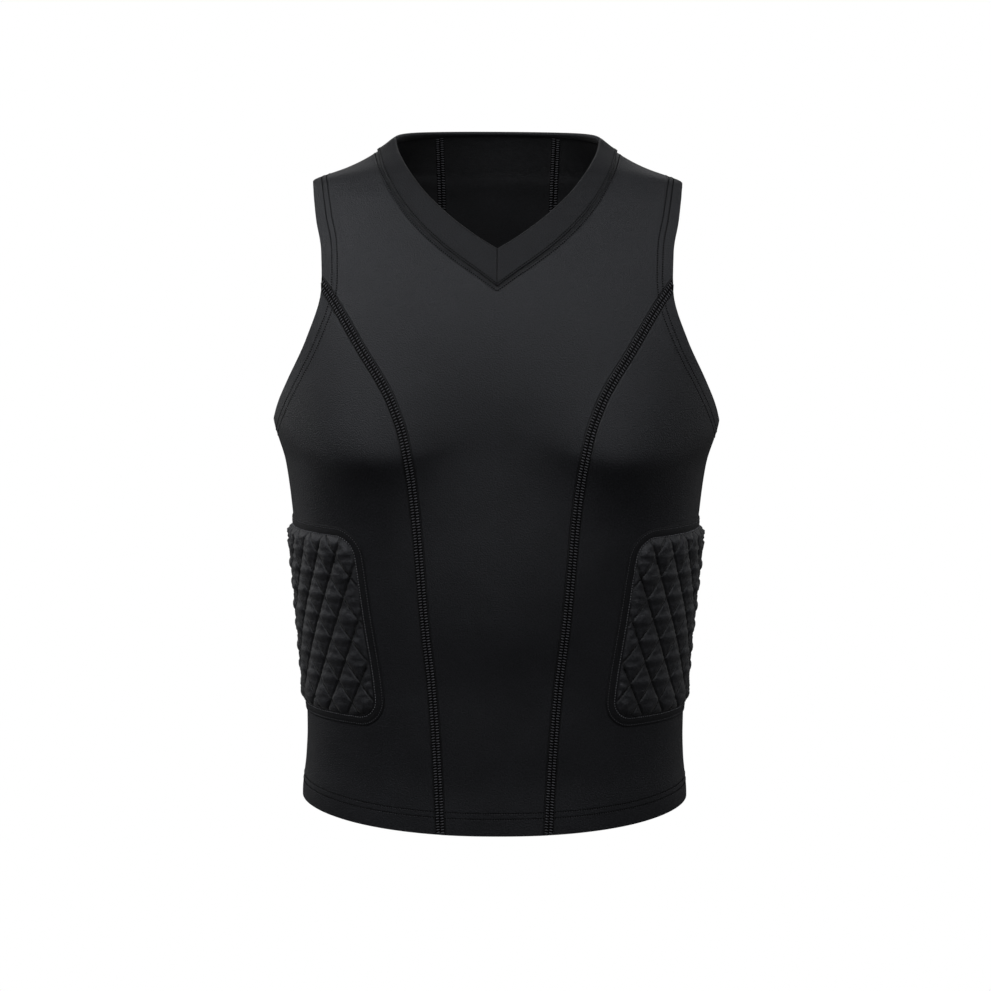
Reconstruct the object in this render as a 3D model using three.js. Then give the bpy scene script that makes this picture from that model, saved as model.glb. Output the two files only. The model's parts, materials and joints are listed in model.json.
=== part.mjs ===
// A padded sleeveless shirt in its worn form, left hollow.
// Millimetres, +Z up, the front towards -Y, the wearer's left towards +X.
// The origin is midway between the shoulders, at the height where the shirt rests on them.
import * as THREE from 'three';

// Thicknesses and the clearances between pieces
const CLOTH_WALL = 1.2;
const HEM_WALL = 2.2;
const HEM_DEPTH = 20;
const SEAM_GAP = 0.35;
const BAND_LIFT = 0.7;
const BAND_WALL = 1.6;
const PAD_LIFT = 0.5;
// Angles round the body that leave the same small gap where two panels meet at the side and at the shoulder
const SIDE_LINE = { front: 89.95, back: 90.05 };
const SHOULDER_RIDGE = { front: 89.6, back: 90.25 };

// Sections of the body under the cloth. Each is a rounded oval lying flat at one height.
// Columns: height, half width, depth to the front, depth to the back, squareness
const SECTIONS = [
  [-590, 171.5, 100, 94, 2.25],
  [-559, 171.6, 99, 92, 2.25],
  [-522, 168.0, 97, 88, 2.25],
  [-500, 167.0, 97, 86, 2.25],
  [-458, 167.4, 98, 84, 2.28],
  [-385, 172.0, 100, 88, 2.3],
  [-305, 178.6, 104, 98, 2.32],
  [-261, 184.0, 110, 104, 2.35],
  [-225, 194.0, 116, 108, 2.4],
  [-200, 197.0, 117, 109, 2.4],
  [-140, 193.0, 105, 107, 2.4],
  [-95, 187.0, 84, 101, 2.4],
  [-60, 180.0, 66, 93, 2.35],
  [-34, 168.5, 53, 85, 2.3],
  [-20, 161.0, 46, 79, 2.2],
  [-17, 157.5, 44, 78, 2.2],
  [-13, 147.0, 42, 77, 2.2],
  [-7, 130.0, 38, 74, 2.15],
  [0, 115.0, 32, 71, 2.1],
  [10, 98.8, 22, 66, 2.1],
  [17, 89.6, 14, 62, 2.1],
  [24, 79.2, 6, 57, 2.1],
  [32, 68.0, 3, 52, 2.1],
];

// Front seam, from the hem up to the armhole. Columns: height, distance from the middle
const FRONT_SEAM = [
  [-580, 53.0],
  [-490, 57.0],
  [-385, 63.4],
  [-282, 71.7],
  [-230, 79.6],
  [-198, 91.4],
  [-156, 115.7],
  [-115, 139.6],
  [-103, 149.0],
];
// Back seam, from the hem up to the neck. Columns: height, distance from the middle
const BACK_SEAM = [
  [-580, 57],
  [-300, 55],
  [-60, 50],
  [32, 52],
];
// Armhole edge, from under the arm up to the shoulder tip.
// Columns: height, angle round the body on the front edge, angle on the back edge
const ARMHOLE = [
  [-225, 89.8, 90.2],
  [-214, 81.0, 99.0],
  [-204, 73.2, 107.0],
  [-190, 65.8, 115.0],
  [-173, 58.9, 123.0],
  [-150, 53.2, 129.5],
  [-112, 48.5, 134.0],
  [-77, 51.2, 131.0],
  [-51, 58.5, 123.0],
  [-34, 67.0, 114.0],
  [-24, 74.5, 106.0],
  [-19.5, 81.5, 98.5],
  [-17.5, 89.6, 90.25],
];
// Neck band, from the point of the V up to the shoulder ridge.
// Columns: distance from the middle and height of the inner edge, then of the outer edge
const NECK_FRONT = [
  [0, -73.8, 0, -108.2],
  [13.1, -66.1, 17.4, -95.9],
  [25.1, -58.0, 32.4, -85.8],
  [37.1, -49.2, 47.3, -74.9],
  [49.2, -38.8, 61.0, -63.2],
  [61.4, -27.0, 73.2, -50.7],
  [70.6, -15.8, 84.0, -37.4],
  [78.7, -3.1, 93.3, -22.6],
  [84.4, 9.0, 101.6, -6.1],
  [82.4, 21.9, 105.8, 5.4],
];
const NECK_BACK = { innerMiddle: 24.5, innerSide: 21.9, outerMiddle: 2.5, outerSide: 5.4 };
const PANEL_UNDER_BAND = 0.06;

// Bottom edge
const HEM_HEIGHT = -560;
const HEM_DIP_FRONT = 12.6;
const HEM_DIP_BACK = 8;
const HEM_DIP_SHAPE = 1.6;

// Body shape on top of the sections
const CHEST = { x: 100, z: -185, wide: 60, up: 55, down: 36, rise: 8 };
const BLADE = { x: 82, z: -135, wide: 48, up: 55, down: 75, rise: 5 };
const SPINE = { x: 0, z: -250, wide: 26, up: 150, down: 190, rise: -5 };

// Side pads: a flared shape with rounded corners, laid round the side of the waist
const PAD = { top: -309, bottom: -482, halfTop: 113.5, halfBottom: 122.5, corner: 30 };
const BORDER = { width: 9.6, outerHeight: 1.6, innerHeight: 4.2 };
const QUILT = { stepAcross: 11.2, stepUp: 18.4, rowAt: -386.7, flare: 0.0008, low: 4.0, high: 7.0, edge: 8 };

const RADIANS = Math.PI / 180;

// A smooth curve through rows of places and values, without overshoot between them
function smoothCurve(places, values) {
  const steps = places.slice(1).map((place, i) => place - places[i]);
  const rises = steps.map((step, i) => (values[i + 1] - values[i]) / step);
  const last = values.length - 1;
  const slopes = values.map((unused, i) => {
    if (i === 0) return rises[0];
    if (i === last) return rises[last - 1];
    const product = rises[i - 1] * rises[i];
    return product > 0 ? (2 * product) / (rises[i - 1] + rises[i]) : 0;
  });
  return (place) => {
    const at = Math.min(Math.max(place, places[0]), places[last]);
    const k = Math.max(1, places.findIndex((p) => at <= p)) - 1;
    const f = (at - places[k]) / steps[k];
    const g = 1 - f;
    const ends = values[k] * g * g * (1 + 2 * f) + values[k + 1] * f * f * (1 + 2 * g);
    return ends + steps[k] * f * g * (slopes[k] * g - slopes[k + 1] * f);
  };
}
const columnOf = (table, index) => table.map((row) => row[index]);
const byFirst = (table, index) => smoothCurve(columnOf(table, 0), columnOf(table, index));
const byRow = (table, index) => smoothCurve(table.map((unused, i) => i), columnOf(table, index));
const mix = (a, b, share) => a + (b - a) * share;

const halfWidth = byFirst(SECTIONS, 1);
const frontDepth = byFirst(SECTIONS, 2);
const backDepth = byFirst(SECTIONS, 3);
const squareness = byFirst(SECTIONS, 4);
const frontSeamX = byFirst(FRONT_SEAM, 1);
const backSeamX = byFirst(BACK_SEAM, 1);

function swelling(bump, x, z) {
  const across = (Math.abs(x) - bump.x) / bump.wide;
  const along = (z - bump.z) / (z > bump.z ? bump.up : bump.down);
  return bump.rise * Math.exp(-across * across - along * along);
}

// The outside of the cloth. The angle runs from the middle of the front (0) round the wearer's left (90).
function form(angle, height) {
  const sine = Math.sin(angle * RADIANS);
  const cosine = Math.cos(angle * RADIANS);
  const power = 2 / squareness(height);
  const x = Math.sign(sine) * halfWidth(height) * Math.abs(sine) ** power;
  const reach = Math.abs(cosine) ** power;
  const fade = Math.min(1, reach * 2.5);
  if (cosine > 0) {
    const chest = swelling(CHEST, x, height) * fade;
    return new THREE.Vector3(x, -frontDepth(height) * reach - chest, height);
  }
  const back = (swelling(BLADE, x, height) + swelling(SPINE, x, height)) * fade;
  return new THREE.Vector3(x, backDepth(height) * reach + back, height);
}
function formNormal(angle, height) {
  const round = form(angle + 0.4, height).sub(form(angle - 0.4, height));
  const up = form(angle, height + 0.5).sub(form(angle, height - 0.5));
  return round.cross(up).normalize();
}
function lifted(angle, height, lift) {
  return form(angle, height).addScaledVector(formNormal(angle, height), lift);
}
// Angle on the front where the form is this far from the middle
function angleAcross(x, height) {
  const share = Math.min(1, Math.abs(x) / halfWidth(height));
  return Math.asin(share ** (squareness(height) / 2)) / RADIANS;
}
function hemHeight(angle) {
  const cosine = Math.cos(angle * RADIANS);
  const dip = cosine > 0 ? HEM_DIP_FRONT : HEM_DIP_BACK;
  return HEM_HEIGHT - dip * Math.abs(cosine) ** HEM_DIP_SHAPE;
}

// Armhole edge by its own running number, and that number at a given height
const armholeRows = ARMHOLE.length - 1;
const armholeHeight = byRow(ARMHOLE, 0);
const armholeAngle = { front: byRow(ARMHOLE, 1), back: byRow(ARMHOLE, 2) };
const UNDERARM = ARMHOLE[0][0];
const SHOULDER_TIP = ARMHOLE[armholeRows][0];
const SEAM_END = FRONT_SEAM[FRONT_SEAM.length - 1][0];
function armholeRowAt(height) {
  let low = 0;
  let high = armholeRows;
  for (let i = 0; i < 40; i += 1) {
    const middle = (low + high) / 2;
    if (armholeHeight(middle) < height) low = middle;
    else high = middle;
  }
  return (low + high) / 2;
}

// Neck edge: share 0 is the inner edge of the band and 1 is its outer edge
const neckRows = NECK_FRONT.length - 1;
const neck = [0, 1, 2, 3].map((index) => byRow(NECK_FRONT, index));
function neckFront(row, share) {
  const x = mix(neck[0](row), neck[2](row), share);
  const height = mix(neck[1](row), neck[3](row), share);
  const angle = row > neckRows - 1e-6 ? 90 : angleAcross(x, height);
  return { angle, height };
}
function neckBack(angle, share) {
  const middle = Math.abs(Math.cos(angle * RADIANS)) ** 1.5;
  const inner = mix(NECK_BACK.innerSide, NECK_BACK.innerMiddle, middle);
  const outer = mix(NECK_BACK.outerSide, NECK_BACK.outerMiddle, middle);
  return { angle, height: mix(inner, outer, share) };
}

// Closed solids from a grid of places: an outer face, an inner face and the rim between them
function sheetGeometry(grid) {
  const rows = grid.length;
  const columns = grid[0].length;
  const positions = [];
  grid.forEach((line) => line.forEach((place) => positions.push(...place.outer.toArray())));
  grid.forEach((line) => line.forEach((place) => positions.push(...place.inner.toArray())));
  const outside = (row, column) => row * columns + column;
  const inside = (row, column) => rows * columns + outside(row, column);
  const faces = [];
  const quad = (a, b, c, d) => faces.push(a, b, c, a, c, d);
  const otherQuad = (a, b, c, d) => faces.push(a, b, d, b, c, d);
  for (let row = 0; row < rows - 1; row += 1) {
    for (let column = 0; column < columns - 1; column += 1) {
      const [r, c] = [row + 1, column + 1];
      const cut = grid[row][column].outer.x + grid[row][c].outer.x < 0 ? otherQuad : quad;
      cut(outside(row, column), outside(row, c), outside(r, c), outside(r, column));
      cut(inside(row, column), inside(r, column), inside(r, c), inside(row, c));
    }
    const end = columns - 1;
    quad(outside(row, 0), outside(row + 1, 0), inside(row + 1, 0), inside(row, 0));
    quad(outside(row, end), inside(row, end), inside(row + 1, end), outside(row + 1, end));
  }
  for (let column = 0; column < columns - 1; column += 1) {
    const top = rows - 1;
    quad(outside(0, column), inside(0, column), inside(0, column + 1), outside(0, column + 1));
    quad(outside(top, column), outside(top, column + 1), inside(top, column + 1), inside(top, column));
  }
  return indexed(positions, faces);
}
function indexed(positions, faces) {
  const geometry = new THREE.BufferGeometry();
  geometry.setAttribute('position', new THREE.Float32BufferAttribute(positions, 3));
  geometry.setIndex(faces);
  return geometry;
}
function mirrored(geometry) {
  const copy = geometry.clone().scale(-1, 1, 1);
  const order = Array.from(copy.index.array);
  for (let i = 0; i < order.length; i += 3) [order[i], order[i + 1]] = [order[i + 1], order[i]];
  copy.setIndex(order);
  return copy;
}
function clothPlace(angle, height, wall) {
  return { outer: form(angle, height), inner: lifted(angle, height, -wall) };
}
const shares = (count) => Array.from({ length: count + 1 }, (unused, i) => i / count);
function span(from, to, count) {
  return shares(count).map((share) => mix(from, to, share));
}
// Heights of the rows of a panel: two close rows at the hem fold, then even rows between the given levels
function rowHeights(hem, levels) {
  const heights = [hem, hem + HEM_DEPTH - 1, hem + HEM_DEPTH + 1];
  levels.forEach(({ to, count }) => {
    const from = heights[heights.length - 1];
    heights.push(...span(from, to, count).slice(1));
  });
  return heights.map((height) => (height - hem) / (heights[heights.length - 1] - hem));
}
const isHemRow = (row) => row < 2;
// Rows along the front seam, the same on both sides of it
const SEAM_LEVELS = [{ to: -245, count: 6 }, { to: SEAM_END, count: 7 }];
// Rows up the armhole edge, closer together at the shoulder tip where the edge turns
const TIP_LEVELS = [{ to: -45, count: 3 }, { to: -24, count: 2 }, { to: SHOULDER_TIP, count: 2 }];

// Front panel: its outer line runs up the seam, the armhole edge and the shoulder ridge
function frontEdgeAngle(height) {
  if (height <= SEAM_END) return angleAcross(frontSeamX(height) - SEAM_GAP / 2, height);
  if (height <= SHOULDER_TIP) return armholeAngle.front(armholeRowAt(height));
  return SHOULDER_RIDGE.front;
}
function frontPanel() {
  const columns = [0, 0.12, 0.25, 0.38, 0.52, 0.66, 0.8, 0.9, 1];
  const sides = [...columns.slice(1).reverse().map((share) => -share), ...columns];
  const neckTop = neckFront(neckRows, PANEL_UNDER_BAND).height;
  const rows = rowHeights(hemHeight(frontEdgeAngle(HEM_HEIGHT)), [
    ...SEAM_LEVELS,
    ...TIP_LEVELS,
    { to: neckTop, count: 4 },
  ]);
  const grid = rows.map((up, row) => sides.map((side) => {
    const share = Math.abs(side);
    const top = neckFront(share * neckRows, PANEL_UNDER_BAND);
    const topShare = top.angle / frontEdgeAngle(top.height);
    const foot = hemHeight(share * frontEdgeAngle(HEM_HEIGHT));
    const height = mix(foot, top.height, up);
    const across = share === 1 ? 1 : mix(share, topShare, up * up);
    const angle = Math.sign(side) * across * frontEdgeAngle(height);
    const onArmhole = share === 1 && height > SEAM_END && height < SHOULDER_TIP;
    return clothPlace(angle, height, isHemRow(row) || onArmhole ? HEM_WALL : CLOTH_WALL);
  }));
  return sheetGeometry(grid);
}

// Side front: from the front seam round to the side line, up to the armhole's front edge
function sideFront() {
  const seamAngle = (height) => angleAcross(frontSeamX(height) + SEAM_GAP / 2, height);
  const sideAngle = SIDE_LINE.front;
  const seamRow = armholeRowAt(SEAM_END);
  const rows = rowHeights(hemHeight(seamAngle(HEM_HEIGHT)), SEAM_LEVELS);
  const grid = rows.map((up, row) => shares(9).map((share) => {
    const edgeRow = seamRow * (1 - share);
    const top = { angle: armholeAngle.front(edgeRow), height: armholeHeight(edgeRow) };
    const topSeam = seamAngle(top.height);
    const topShare = (top.angle - topSeam) / (sideAngle - topSeam);
    const foot = hemHeight(mix(seamAngle(HEM_HEIGHT), 90, share));
    const height = mix(foot, top.height, up);
    const ends = share === 0 || share === 1;
    const across = ends ? share : mix(share, Math.min(1, Math.max(0, topShare)), up * up * up);
    const angle = mix(seamAngle(height), sideAngle, across);
    const onArmhole = up === 1;
    return clothPlace(angle, height, isHemRow(row) || onArmhole ? HEM_WALL : CLOTH_WALL);
  }));
  return sheetGeometry(grid);
}

// Side back: its outer line runs up the side, the armhole's back edge and the shoulder ridge
function backEdgeAngle(height) {
  if (height <= UNDERARM) return SIDE_LINE.back;
  if (height <= SHOULDER_TIP) return armholeAngle.back(armholeRowAt(height));
  return SHOULDER_RIDGE.back;
}
function sideBack() {
  const seamAngle = (height) => 180 - angleAcross(backSeamX(height) + SEAM_GAP / 2, height);
  const rows = rowHeights(hemHeight(90), [
    { to: UNDERARM, count: 7 },
    { to: -212, count: 2 },
    { to: -112, count: 4 },
    ...TIP_LEVELS,
    { to: neckBack(90, PANEL_UNDER_BAND).height, count: 4 },
  ]);
  const grid = rows.map((up, row) => shares(8).map((share) => {
    const top = neckBack(mix(90, seamAngle(20), share), PANEL_UNDER_BAND);
    const foot = hemHeight(mix(90, seamAngle(HEM_HEIGHT), share));
    const height = mix(foot, top.height, up);
    const angle = mix(backEdgeAngle(height), seamAngle(height), share);
    const onArmhole = share === 0 && height >= UNDERARM && height < SHOULDER_TIP;
    return clothPlace(angle, height, isHemRow(row) || onArmhole ? HEM_WALL : CLOTH_WALL);
  }));
  return sheetGeometry(grid);
}

function backPanel() {
  const rows = rowHeights(hemHeight(180), [{ to: neckBack(180, PANEL_UNDER_BAND).height, count: 20 }]);
  const grid = rows.map((up, row) => shares(6).map((share) => {
    const seamAngle = (height) => 180 - angleAcross(backSeamX(height) - SEAM_GAP / 2, height);
    const place = (height) => mix(seamAngle(height), 360 - seamAngle(height), share);
    const height = mix(hemHeight(place(HEM_HEIGHT)), neckBack(place(20), PANEL_UNDER_BAND).height, up);
    return clothPlace(place(height), height, isHemRow(row) ? HEM_WALL : CLOTH_WALL);
  }));
  return sheetGeometry(grid);
}

// Neck band: a flat strip laid on the panels all the way round the neck
function neckBand() {
  const across = shares(3);
  const frontRows = [0, 1, 2, 3, 4, 5, 5.5, 6, 6.4, 6.8, 7.2, 7.6, 8, 8.25, 8.5, 8.7, 8.85, 9];
  const backAngles = span(90, 180, 12).slice(1);
  const half = [
    ...frontRows.map((row) => across.map((share) => neckFront(row, share))),
    ...backAngles.map((angle) => across.map((share) => neckBack(angle, share))),
  ];
  const other = half.slice(1, -1).reverse().map((line) => line.map((place) => ({ ...place, side: -1 })));
  const loop = [...half, ...other].map((line) => {
    const at = (place, lift) => {
      const point = lifted(place.angle, place.height, lift);
      return place.side ? point.multiply(new THREE.Vector3(-1, 1, 1)) : point;
    };
    const under = line.map((place) => at(place, BAND_LIFT));
    const over = line.map((place) => at(place, BAND_LIFT + BAND_WALL));
    return [...under, ...over.reverse()];
  });
  return ringGeometry(loop);
}
// A closed ring swept from cross-sections that all have the same number of points
function ringGeometry(sections) {
  const size = sections[0].length;
  const positions = sections.flatMap((section) => section.flatMap((point) => point.toArray()));
  const faces = [];
  sections.forEach((unused, i) => {
    const here = i * size;
    const next = ((i + 1) % sections.length) * size;
    for (let k = 0; k < size; k += 1) {
      const m = (k + 1) % size;
      faces.push(here + k, next + k, next + m, here + k, next + m, here + m);
    }
  });
  return indexed(positions, faces);
}

// Place on the wearer's left side: the distance along the cloth from the side line, forward positive
function angleFromSide(distance, height) {
  const step = distance > 0 ? -1 : 1;
  let angle = 90;
  let walked = 0;
  let point = form(angle, height);
  for (;;) {
    const next = form(angle + step, height);
    const length = next.distanceTo(point);
    if (walked + length >= Math.abs(distance)) return angle + (step * (Math.abs(distance) - walked)) / length;
    walked += length;
    angle += step;
    point = next;
  }
}
function onSide(place, lift) {
  return lifted(angleFromSide(place[0], place[1]), place[1], lift);
}

// Outline of a pad, drawn flat: four rounded corners joined by straight edges cut into short lengths
function padOutline(inset) {
  const lean = Math.atan2(PAD.halfBottom - PAD.halfTop, PAD.top - PAD.bottom);
  const radius = PAD.corner - inset;
  const halfAt = (v) => mix(PAD.halfBottom, PAD.halfTop, (v - PAD.bottom) / (PAD.top - PAD.bottom));
  const reach = (v) => halfAt(v) - PAD.corner / Math.cos(lean);
  const low = PAD.bottom + PAD.corner;
  const high = PAD.top - PAD.corner;
  const corners = [
    { u: reach(low), v: low, from: -90, to: lean / RADIANS },
    { u: reach(high), v: high, from: lean / RADIANS, to: 90 },
    { u: -reach(high), v: high, from: 90, to: 180 - lean / RADIANS },
    { u: -reach(low), v: low, from: 180 - lean / RADIANS, to: 270 },
  ];
  const arcs = corners.map((corner) => span(corner.from, corner.to, 6).map((turn) => [
    corner.u + radius * Math.cos(turn * RADIANS),
    corner.v + radius * Math.sin(turn * RADIANS),
  ]));
  return arcs.flatMap((arc, i) => {
    const start = arc[arc.length - 1];
    const end = arcs[(i + 1) % arcs.length][0];
    const count = Math.round(Math.hypot(end[0] - start[0], end[1] - start[1]) / 11);
    const straight = span(0, 1, count).slice(1, -1);
    return [...arc, ...straight.map((share) => [mix(start[0], end[0], share), mix(start[1], end[1], share)])];
  });
}
function padBorder() {
  const outer = padOutline(0);
  const inner = padOutline(BORDER.width);
  const sections = outer.map((place, i) => {
    const low = [onSide(place, PAD_LIFT), onSide(inner[i], PAD_LIFT)];
    const high = [onSide(inner[i], BORDER.innerHeight), onSide(place, BORDER.outerHeight)];
    return [...low, ...high];
  });
  return ringGeometry(sections);
}

// Quilted pad: diamonds whose stitched edges stay low and whose middles rise, cut to the inner outline
const edgeOffset = (a, b, p) => {
  const length = Math.hypot(b[0] - a[0], b[1] - a[1]);
  return ((b[0] - a[0]) * (p[1] - a[1]) - (b[1] - a[1]) * (p[0] - a[0])) / length;
};
function clipped(polygon, outline) {
  return outline.reduce((kept, a, i) => {
    const b = outline[(i + 1) % outline.length];
    const result = [];
    kept.forEach((p, k) => {
      const q = kept[(k + 1) % kept.length];
      const [dp, dq] = [edgeOffset(a, b, p), edgeOffset(a, b, q)];
      if (dp >= 0) result.push(p);
      if ((dp > 0 && dq < 0) || (dp < 0 && dq > 0)) {
        const share = dp / (dp - dq);
        result.push([mix(p[0], q[0], share), mix(p[1], q[1], share)]);
      }
    });
    return result;
  }, polygon);
}
function quiltPoint(p, q) {
  const v = QUILT.rowAt + (p - q) * QUILT.stepUp;
  const u = (p + q + 0.5) * QUILT.stepAcross * (1 + QUILT.flare * (QUILT.rowAt - v));
  return [u, v];
}
function quiltHeight(place, outline) {
  const across = place[0] / (QUILT.stepAcross * (1 + QUILT.flare * (QUILT.rowAt - place[1]))) - 0.5;
  const up = (place[1] - QUILT.rowAt) / QUILT.stepUp;
  const waves = Math.sin(((across + up) / 2) * Math.PI) * Math.sin(((across - up) / 2) * Math.PI);
  const inside = Math.min(...outline.map((a, i) => edgeOffset(a, outline[(i + 1) % outline.length], place)));
  const fall = Math.min(1, Math.max(0, inside / QUILT.edge));
  const puff = Math.abs(waves) ** 0.6;
  return mix(QUILT.low, QUILT.high, puff * mix(0.25, 1, fall));
}
function quiltedPad() {
  const outline = padOutline(BORDER.width + SEAM_GAP);
  const reach = 18;
  const pieces = [];
  for (let p = -reach; p < reach; p += 0.5) {
    for (let q = -reach; q < reach; q += 0.5) {
      const corners = [[p, q], [p + 0.5, q], [p + 0.5, q + 0.5], [p, q + 0.5]].map(([a, b]) => quiltPoint(a, b));
      const [a, b, c, d] = corners;
      const straightCut = Number.isInteger(p) === Number.isInteger(q);
      const halves = straightCut ? [[a, b, c], [a, c, d]] : [[a, b, d], [b, c, d]];
      halves.forEach((half) => pieces.push(clipped(half.reverse(), outline)));
    }
  }
  return padFromPieces(pieces.filter((piece) => piece.length > 2), outline);
}
function padFromPieces(pieces, outline) {
  const places = [];
  const numbers = new Map();
  const numberOf = (place) => {
    const key = place.map((value) => Math.round(value * 200)).join(',');
    if (!numbers.has(key)) {
      numbers.set(key, places.length);
      places.push(place);
    }
    return numbers.get(key);
  };
  const triangles = [];
  pieces.forEach((piece) => {
    const ring = piece.map(numberOf).filter((number, i, all) => number !== all[(i + 1) % all.length]);
    for (let k = 1; k < ring.length - 1; k += 1) triangles.push([ring[0], ring[k], ring[k + 1]]);
  });
  const edges = new Map();
  triangles.forEach(([a, b, c]) => [[a, b], [b, c], [c, a]].forEach(([from, to]) => {
    if (!edges.delete(`${to},${from}`)) edges.set(`${from},${to}`, [from, to]);
  }));
  const count = places.length;
  const top = places.map((place) => onSide(place, quiltHeight(place, outline)));
  const bottom = places.map((place) => onSide(place, PAD_LIFT));
  const positions = [...top, ...bottom].flatMap((point) => point.toArray());
  const faces = triangles.flatMap(([a, b, c]) => [a, c, b, a + count, b + count, c + count]);
  edges.forEach(([from, to]) => faces.push(from, to, to + count, from, to + count, from + count));
  return indexed(positions, faces);
}

// Looks
const cloth = (color, roughness) => new THREE.MeshStandardMaterial({ color, roughness, metalness: 0 });
const KNIT = 0x1d1d20;
const BAND_KNIT = 0x212124;
const PAD_CLOTH = 0x18181b;
const BORDER_TAPE = 0x141416;

const shirt = new THREE.Group();
shirt.name = 'padded_shirt';
function add(name, geometry, material) {
  const mesh = new THREE.Mesh(geometry, material);
  mesh.name = name;
  shirt.add(mesh);
}
add('front_panel', frontPanel(), cloth(KNIT, 0.72));
add('side_front_left', sideFront(), cloth(KNIT, 0.72));
add('side_front_right', mirrored(sideFront()), cloth(KNIT, 0.72));
add('side_back_left', sideBack(), cloth(KNIT, 0.72));
add('side_back_right', mirrored(sideBack()), cloth(KNIT, 0.72));
add('back_panel', backPanel(), cloth(KNIT, 0.72));
add('neck_band', neckBand(), cloth(BAND_KNIT, 0.74));
add('pad_left', quiltedPad(), cloth(PAD_CLOTH, 0.66));
add('pad_right', mirrored(quiltedPad()), cloth(PAD_CLOTH, 0.66));
add('pad_border_left', padBorder(), cloth(BORDER_TAPE, 0.8));
add('pad_border_right', mirrored(padBorder()), cloth(BORDER_TAPE, 0.8));

export default shirt;
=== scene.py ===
# %% [markdown]
# # A padded shirt, sewn up piece by piece
#
# The shirt is a tight sleeveless sports shirt of thin stretch knit, with a V neck and a quilted foam
# pad on each side of the waist. A solid model of it already exists. It fixes the size and the place of
# every piece, and this lesson dresses it: cut panels with turned hems, a folded neck band, thread, and
# pads that are blown up as cloth.
#
# First the solid model is loaded, because every new piece has to sit where a solid one is.

# %% Load the solid model
import json
import math
from bisect import bisect_right
from functools import lru_cache

import bmesh
import bpy
from mathutils import Matrix, Vector, kdtree, noise

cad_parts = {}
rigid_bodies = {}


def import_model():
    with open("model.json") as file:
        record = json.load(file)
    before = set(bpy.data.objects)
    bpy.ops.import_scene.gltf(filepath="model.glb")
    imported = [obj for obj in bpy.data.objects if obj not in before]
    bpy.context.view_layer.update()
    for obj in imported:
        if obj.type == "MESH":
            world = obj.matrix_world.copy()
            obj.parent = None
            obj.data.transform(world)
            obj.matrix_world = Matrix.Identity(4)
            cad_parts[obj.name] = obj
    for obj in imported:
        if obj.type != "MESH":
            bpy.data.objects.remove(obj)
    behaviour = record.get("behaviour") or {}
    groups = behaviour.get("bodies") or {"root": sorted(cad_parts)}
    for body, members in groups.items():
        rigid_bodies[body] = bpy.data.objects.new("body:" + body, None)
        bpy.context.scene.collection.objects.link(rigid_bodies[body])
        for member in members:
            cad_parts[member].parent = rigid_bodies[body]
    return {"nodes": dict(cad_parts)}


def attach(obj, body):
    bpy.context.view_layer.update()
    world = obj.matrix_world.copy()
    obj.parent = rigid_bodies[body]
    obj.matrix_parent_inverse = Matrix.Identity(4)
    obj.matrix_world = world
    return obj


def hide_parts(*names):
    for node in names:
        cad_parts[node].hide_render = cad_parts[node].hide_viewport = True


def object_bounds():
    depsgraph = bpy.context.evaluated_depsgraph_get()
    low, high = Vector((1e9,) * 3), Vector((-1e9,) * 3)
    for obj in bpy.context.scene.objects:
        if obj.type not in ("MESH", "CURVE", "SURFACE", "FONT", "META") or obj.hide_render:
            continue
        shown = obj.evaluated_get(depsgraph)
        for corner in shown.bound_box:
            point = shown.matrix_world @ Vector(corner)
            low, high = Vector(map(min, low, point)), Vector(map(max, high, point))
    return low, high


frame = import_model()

cad_low, cad_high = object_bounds()
cad_size = [round(b - a, 3) for a, b in zip(cad_low, cad_high)]
print("solid model:", len(frame["nodes"]), "nodes, size", cad_size)

# %% [markdown]
# ## The shape of the body under the cloth
#
# A close shirt takes the shape of the body. That shape could be sculpted, but then seams and stitches
# would be hard to lay on it. Here it is worked out instead, from flat ovals at a few heights and a few
# soft swellings, so that any place on the cloth has two numbers: an angle round the body and a height.
# The widths and the back are those of the solid model, in millimetres. The chest and the belly are a
# little fuller or flatter than there, so that light falls on them as it does on the real shirt. The
# front faces -Y, and the angle runs from the middle of the front (0) round the wearer's left (90).

# %% Measures of the body
MM = 0.001
# Columns: height, half width, depth to the front, depth to the back, squareness
SECTIONS = [
    [-590, 171.5, 100, 94, 2.25],
    [-559, 171.6, 99, 92, 2.25],
    [-522, 168.0, 97, 88, 2.25],
    [-500, 167.0, 97.5, 86, 2.25],
    [-458, 167.4, 99.5, 84, 2.28],
    [-385, 172.0, 105, 88, 2.3],
    [-305, 178.6, 109, 98, 2.32],
    [-261, 184.0, 109.5, 104, 2.35],
    [-225, 194.0, 109, 108, 2.4],
    [-200, 197.0, 107.5, 109, 2.4],
    [-170, 195.5, 103.5, 108.5, 2.4],
    [-140, 193.0, 97, 107, 2.4],
    [-95, 187.0, 82, 101, 2.4],
    [-60, 180.0, 66, 93, 2.35],
    [-34, 168.5, 53, 85, 2.3],
    [-20, 161.0, 46, 79, 2.2],
    [-17, 157.5, 44, 78, 2.2],
    [-13, 147.0, 42, 77, 2.2],
    [-7, 130.0, 38, 74, 2.15],
    [0, 115.0, 32, 71, 2.1],
    [10, 98.8, 22, 66, 2.1],
    [17, 89.6, 14, 62, 2.1],
    [24, 79.2, 6, 57, 2.1],
    [32, 68.0, 3, 52, 2.1],
]
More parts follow.
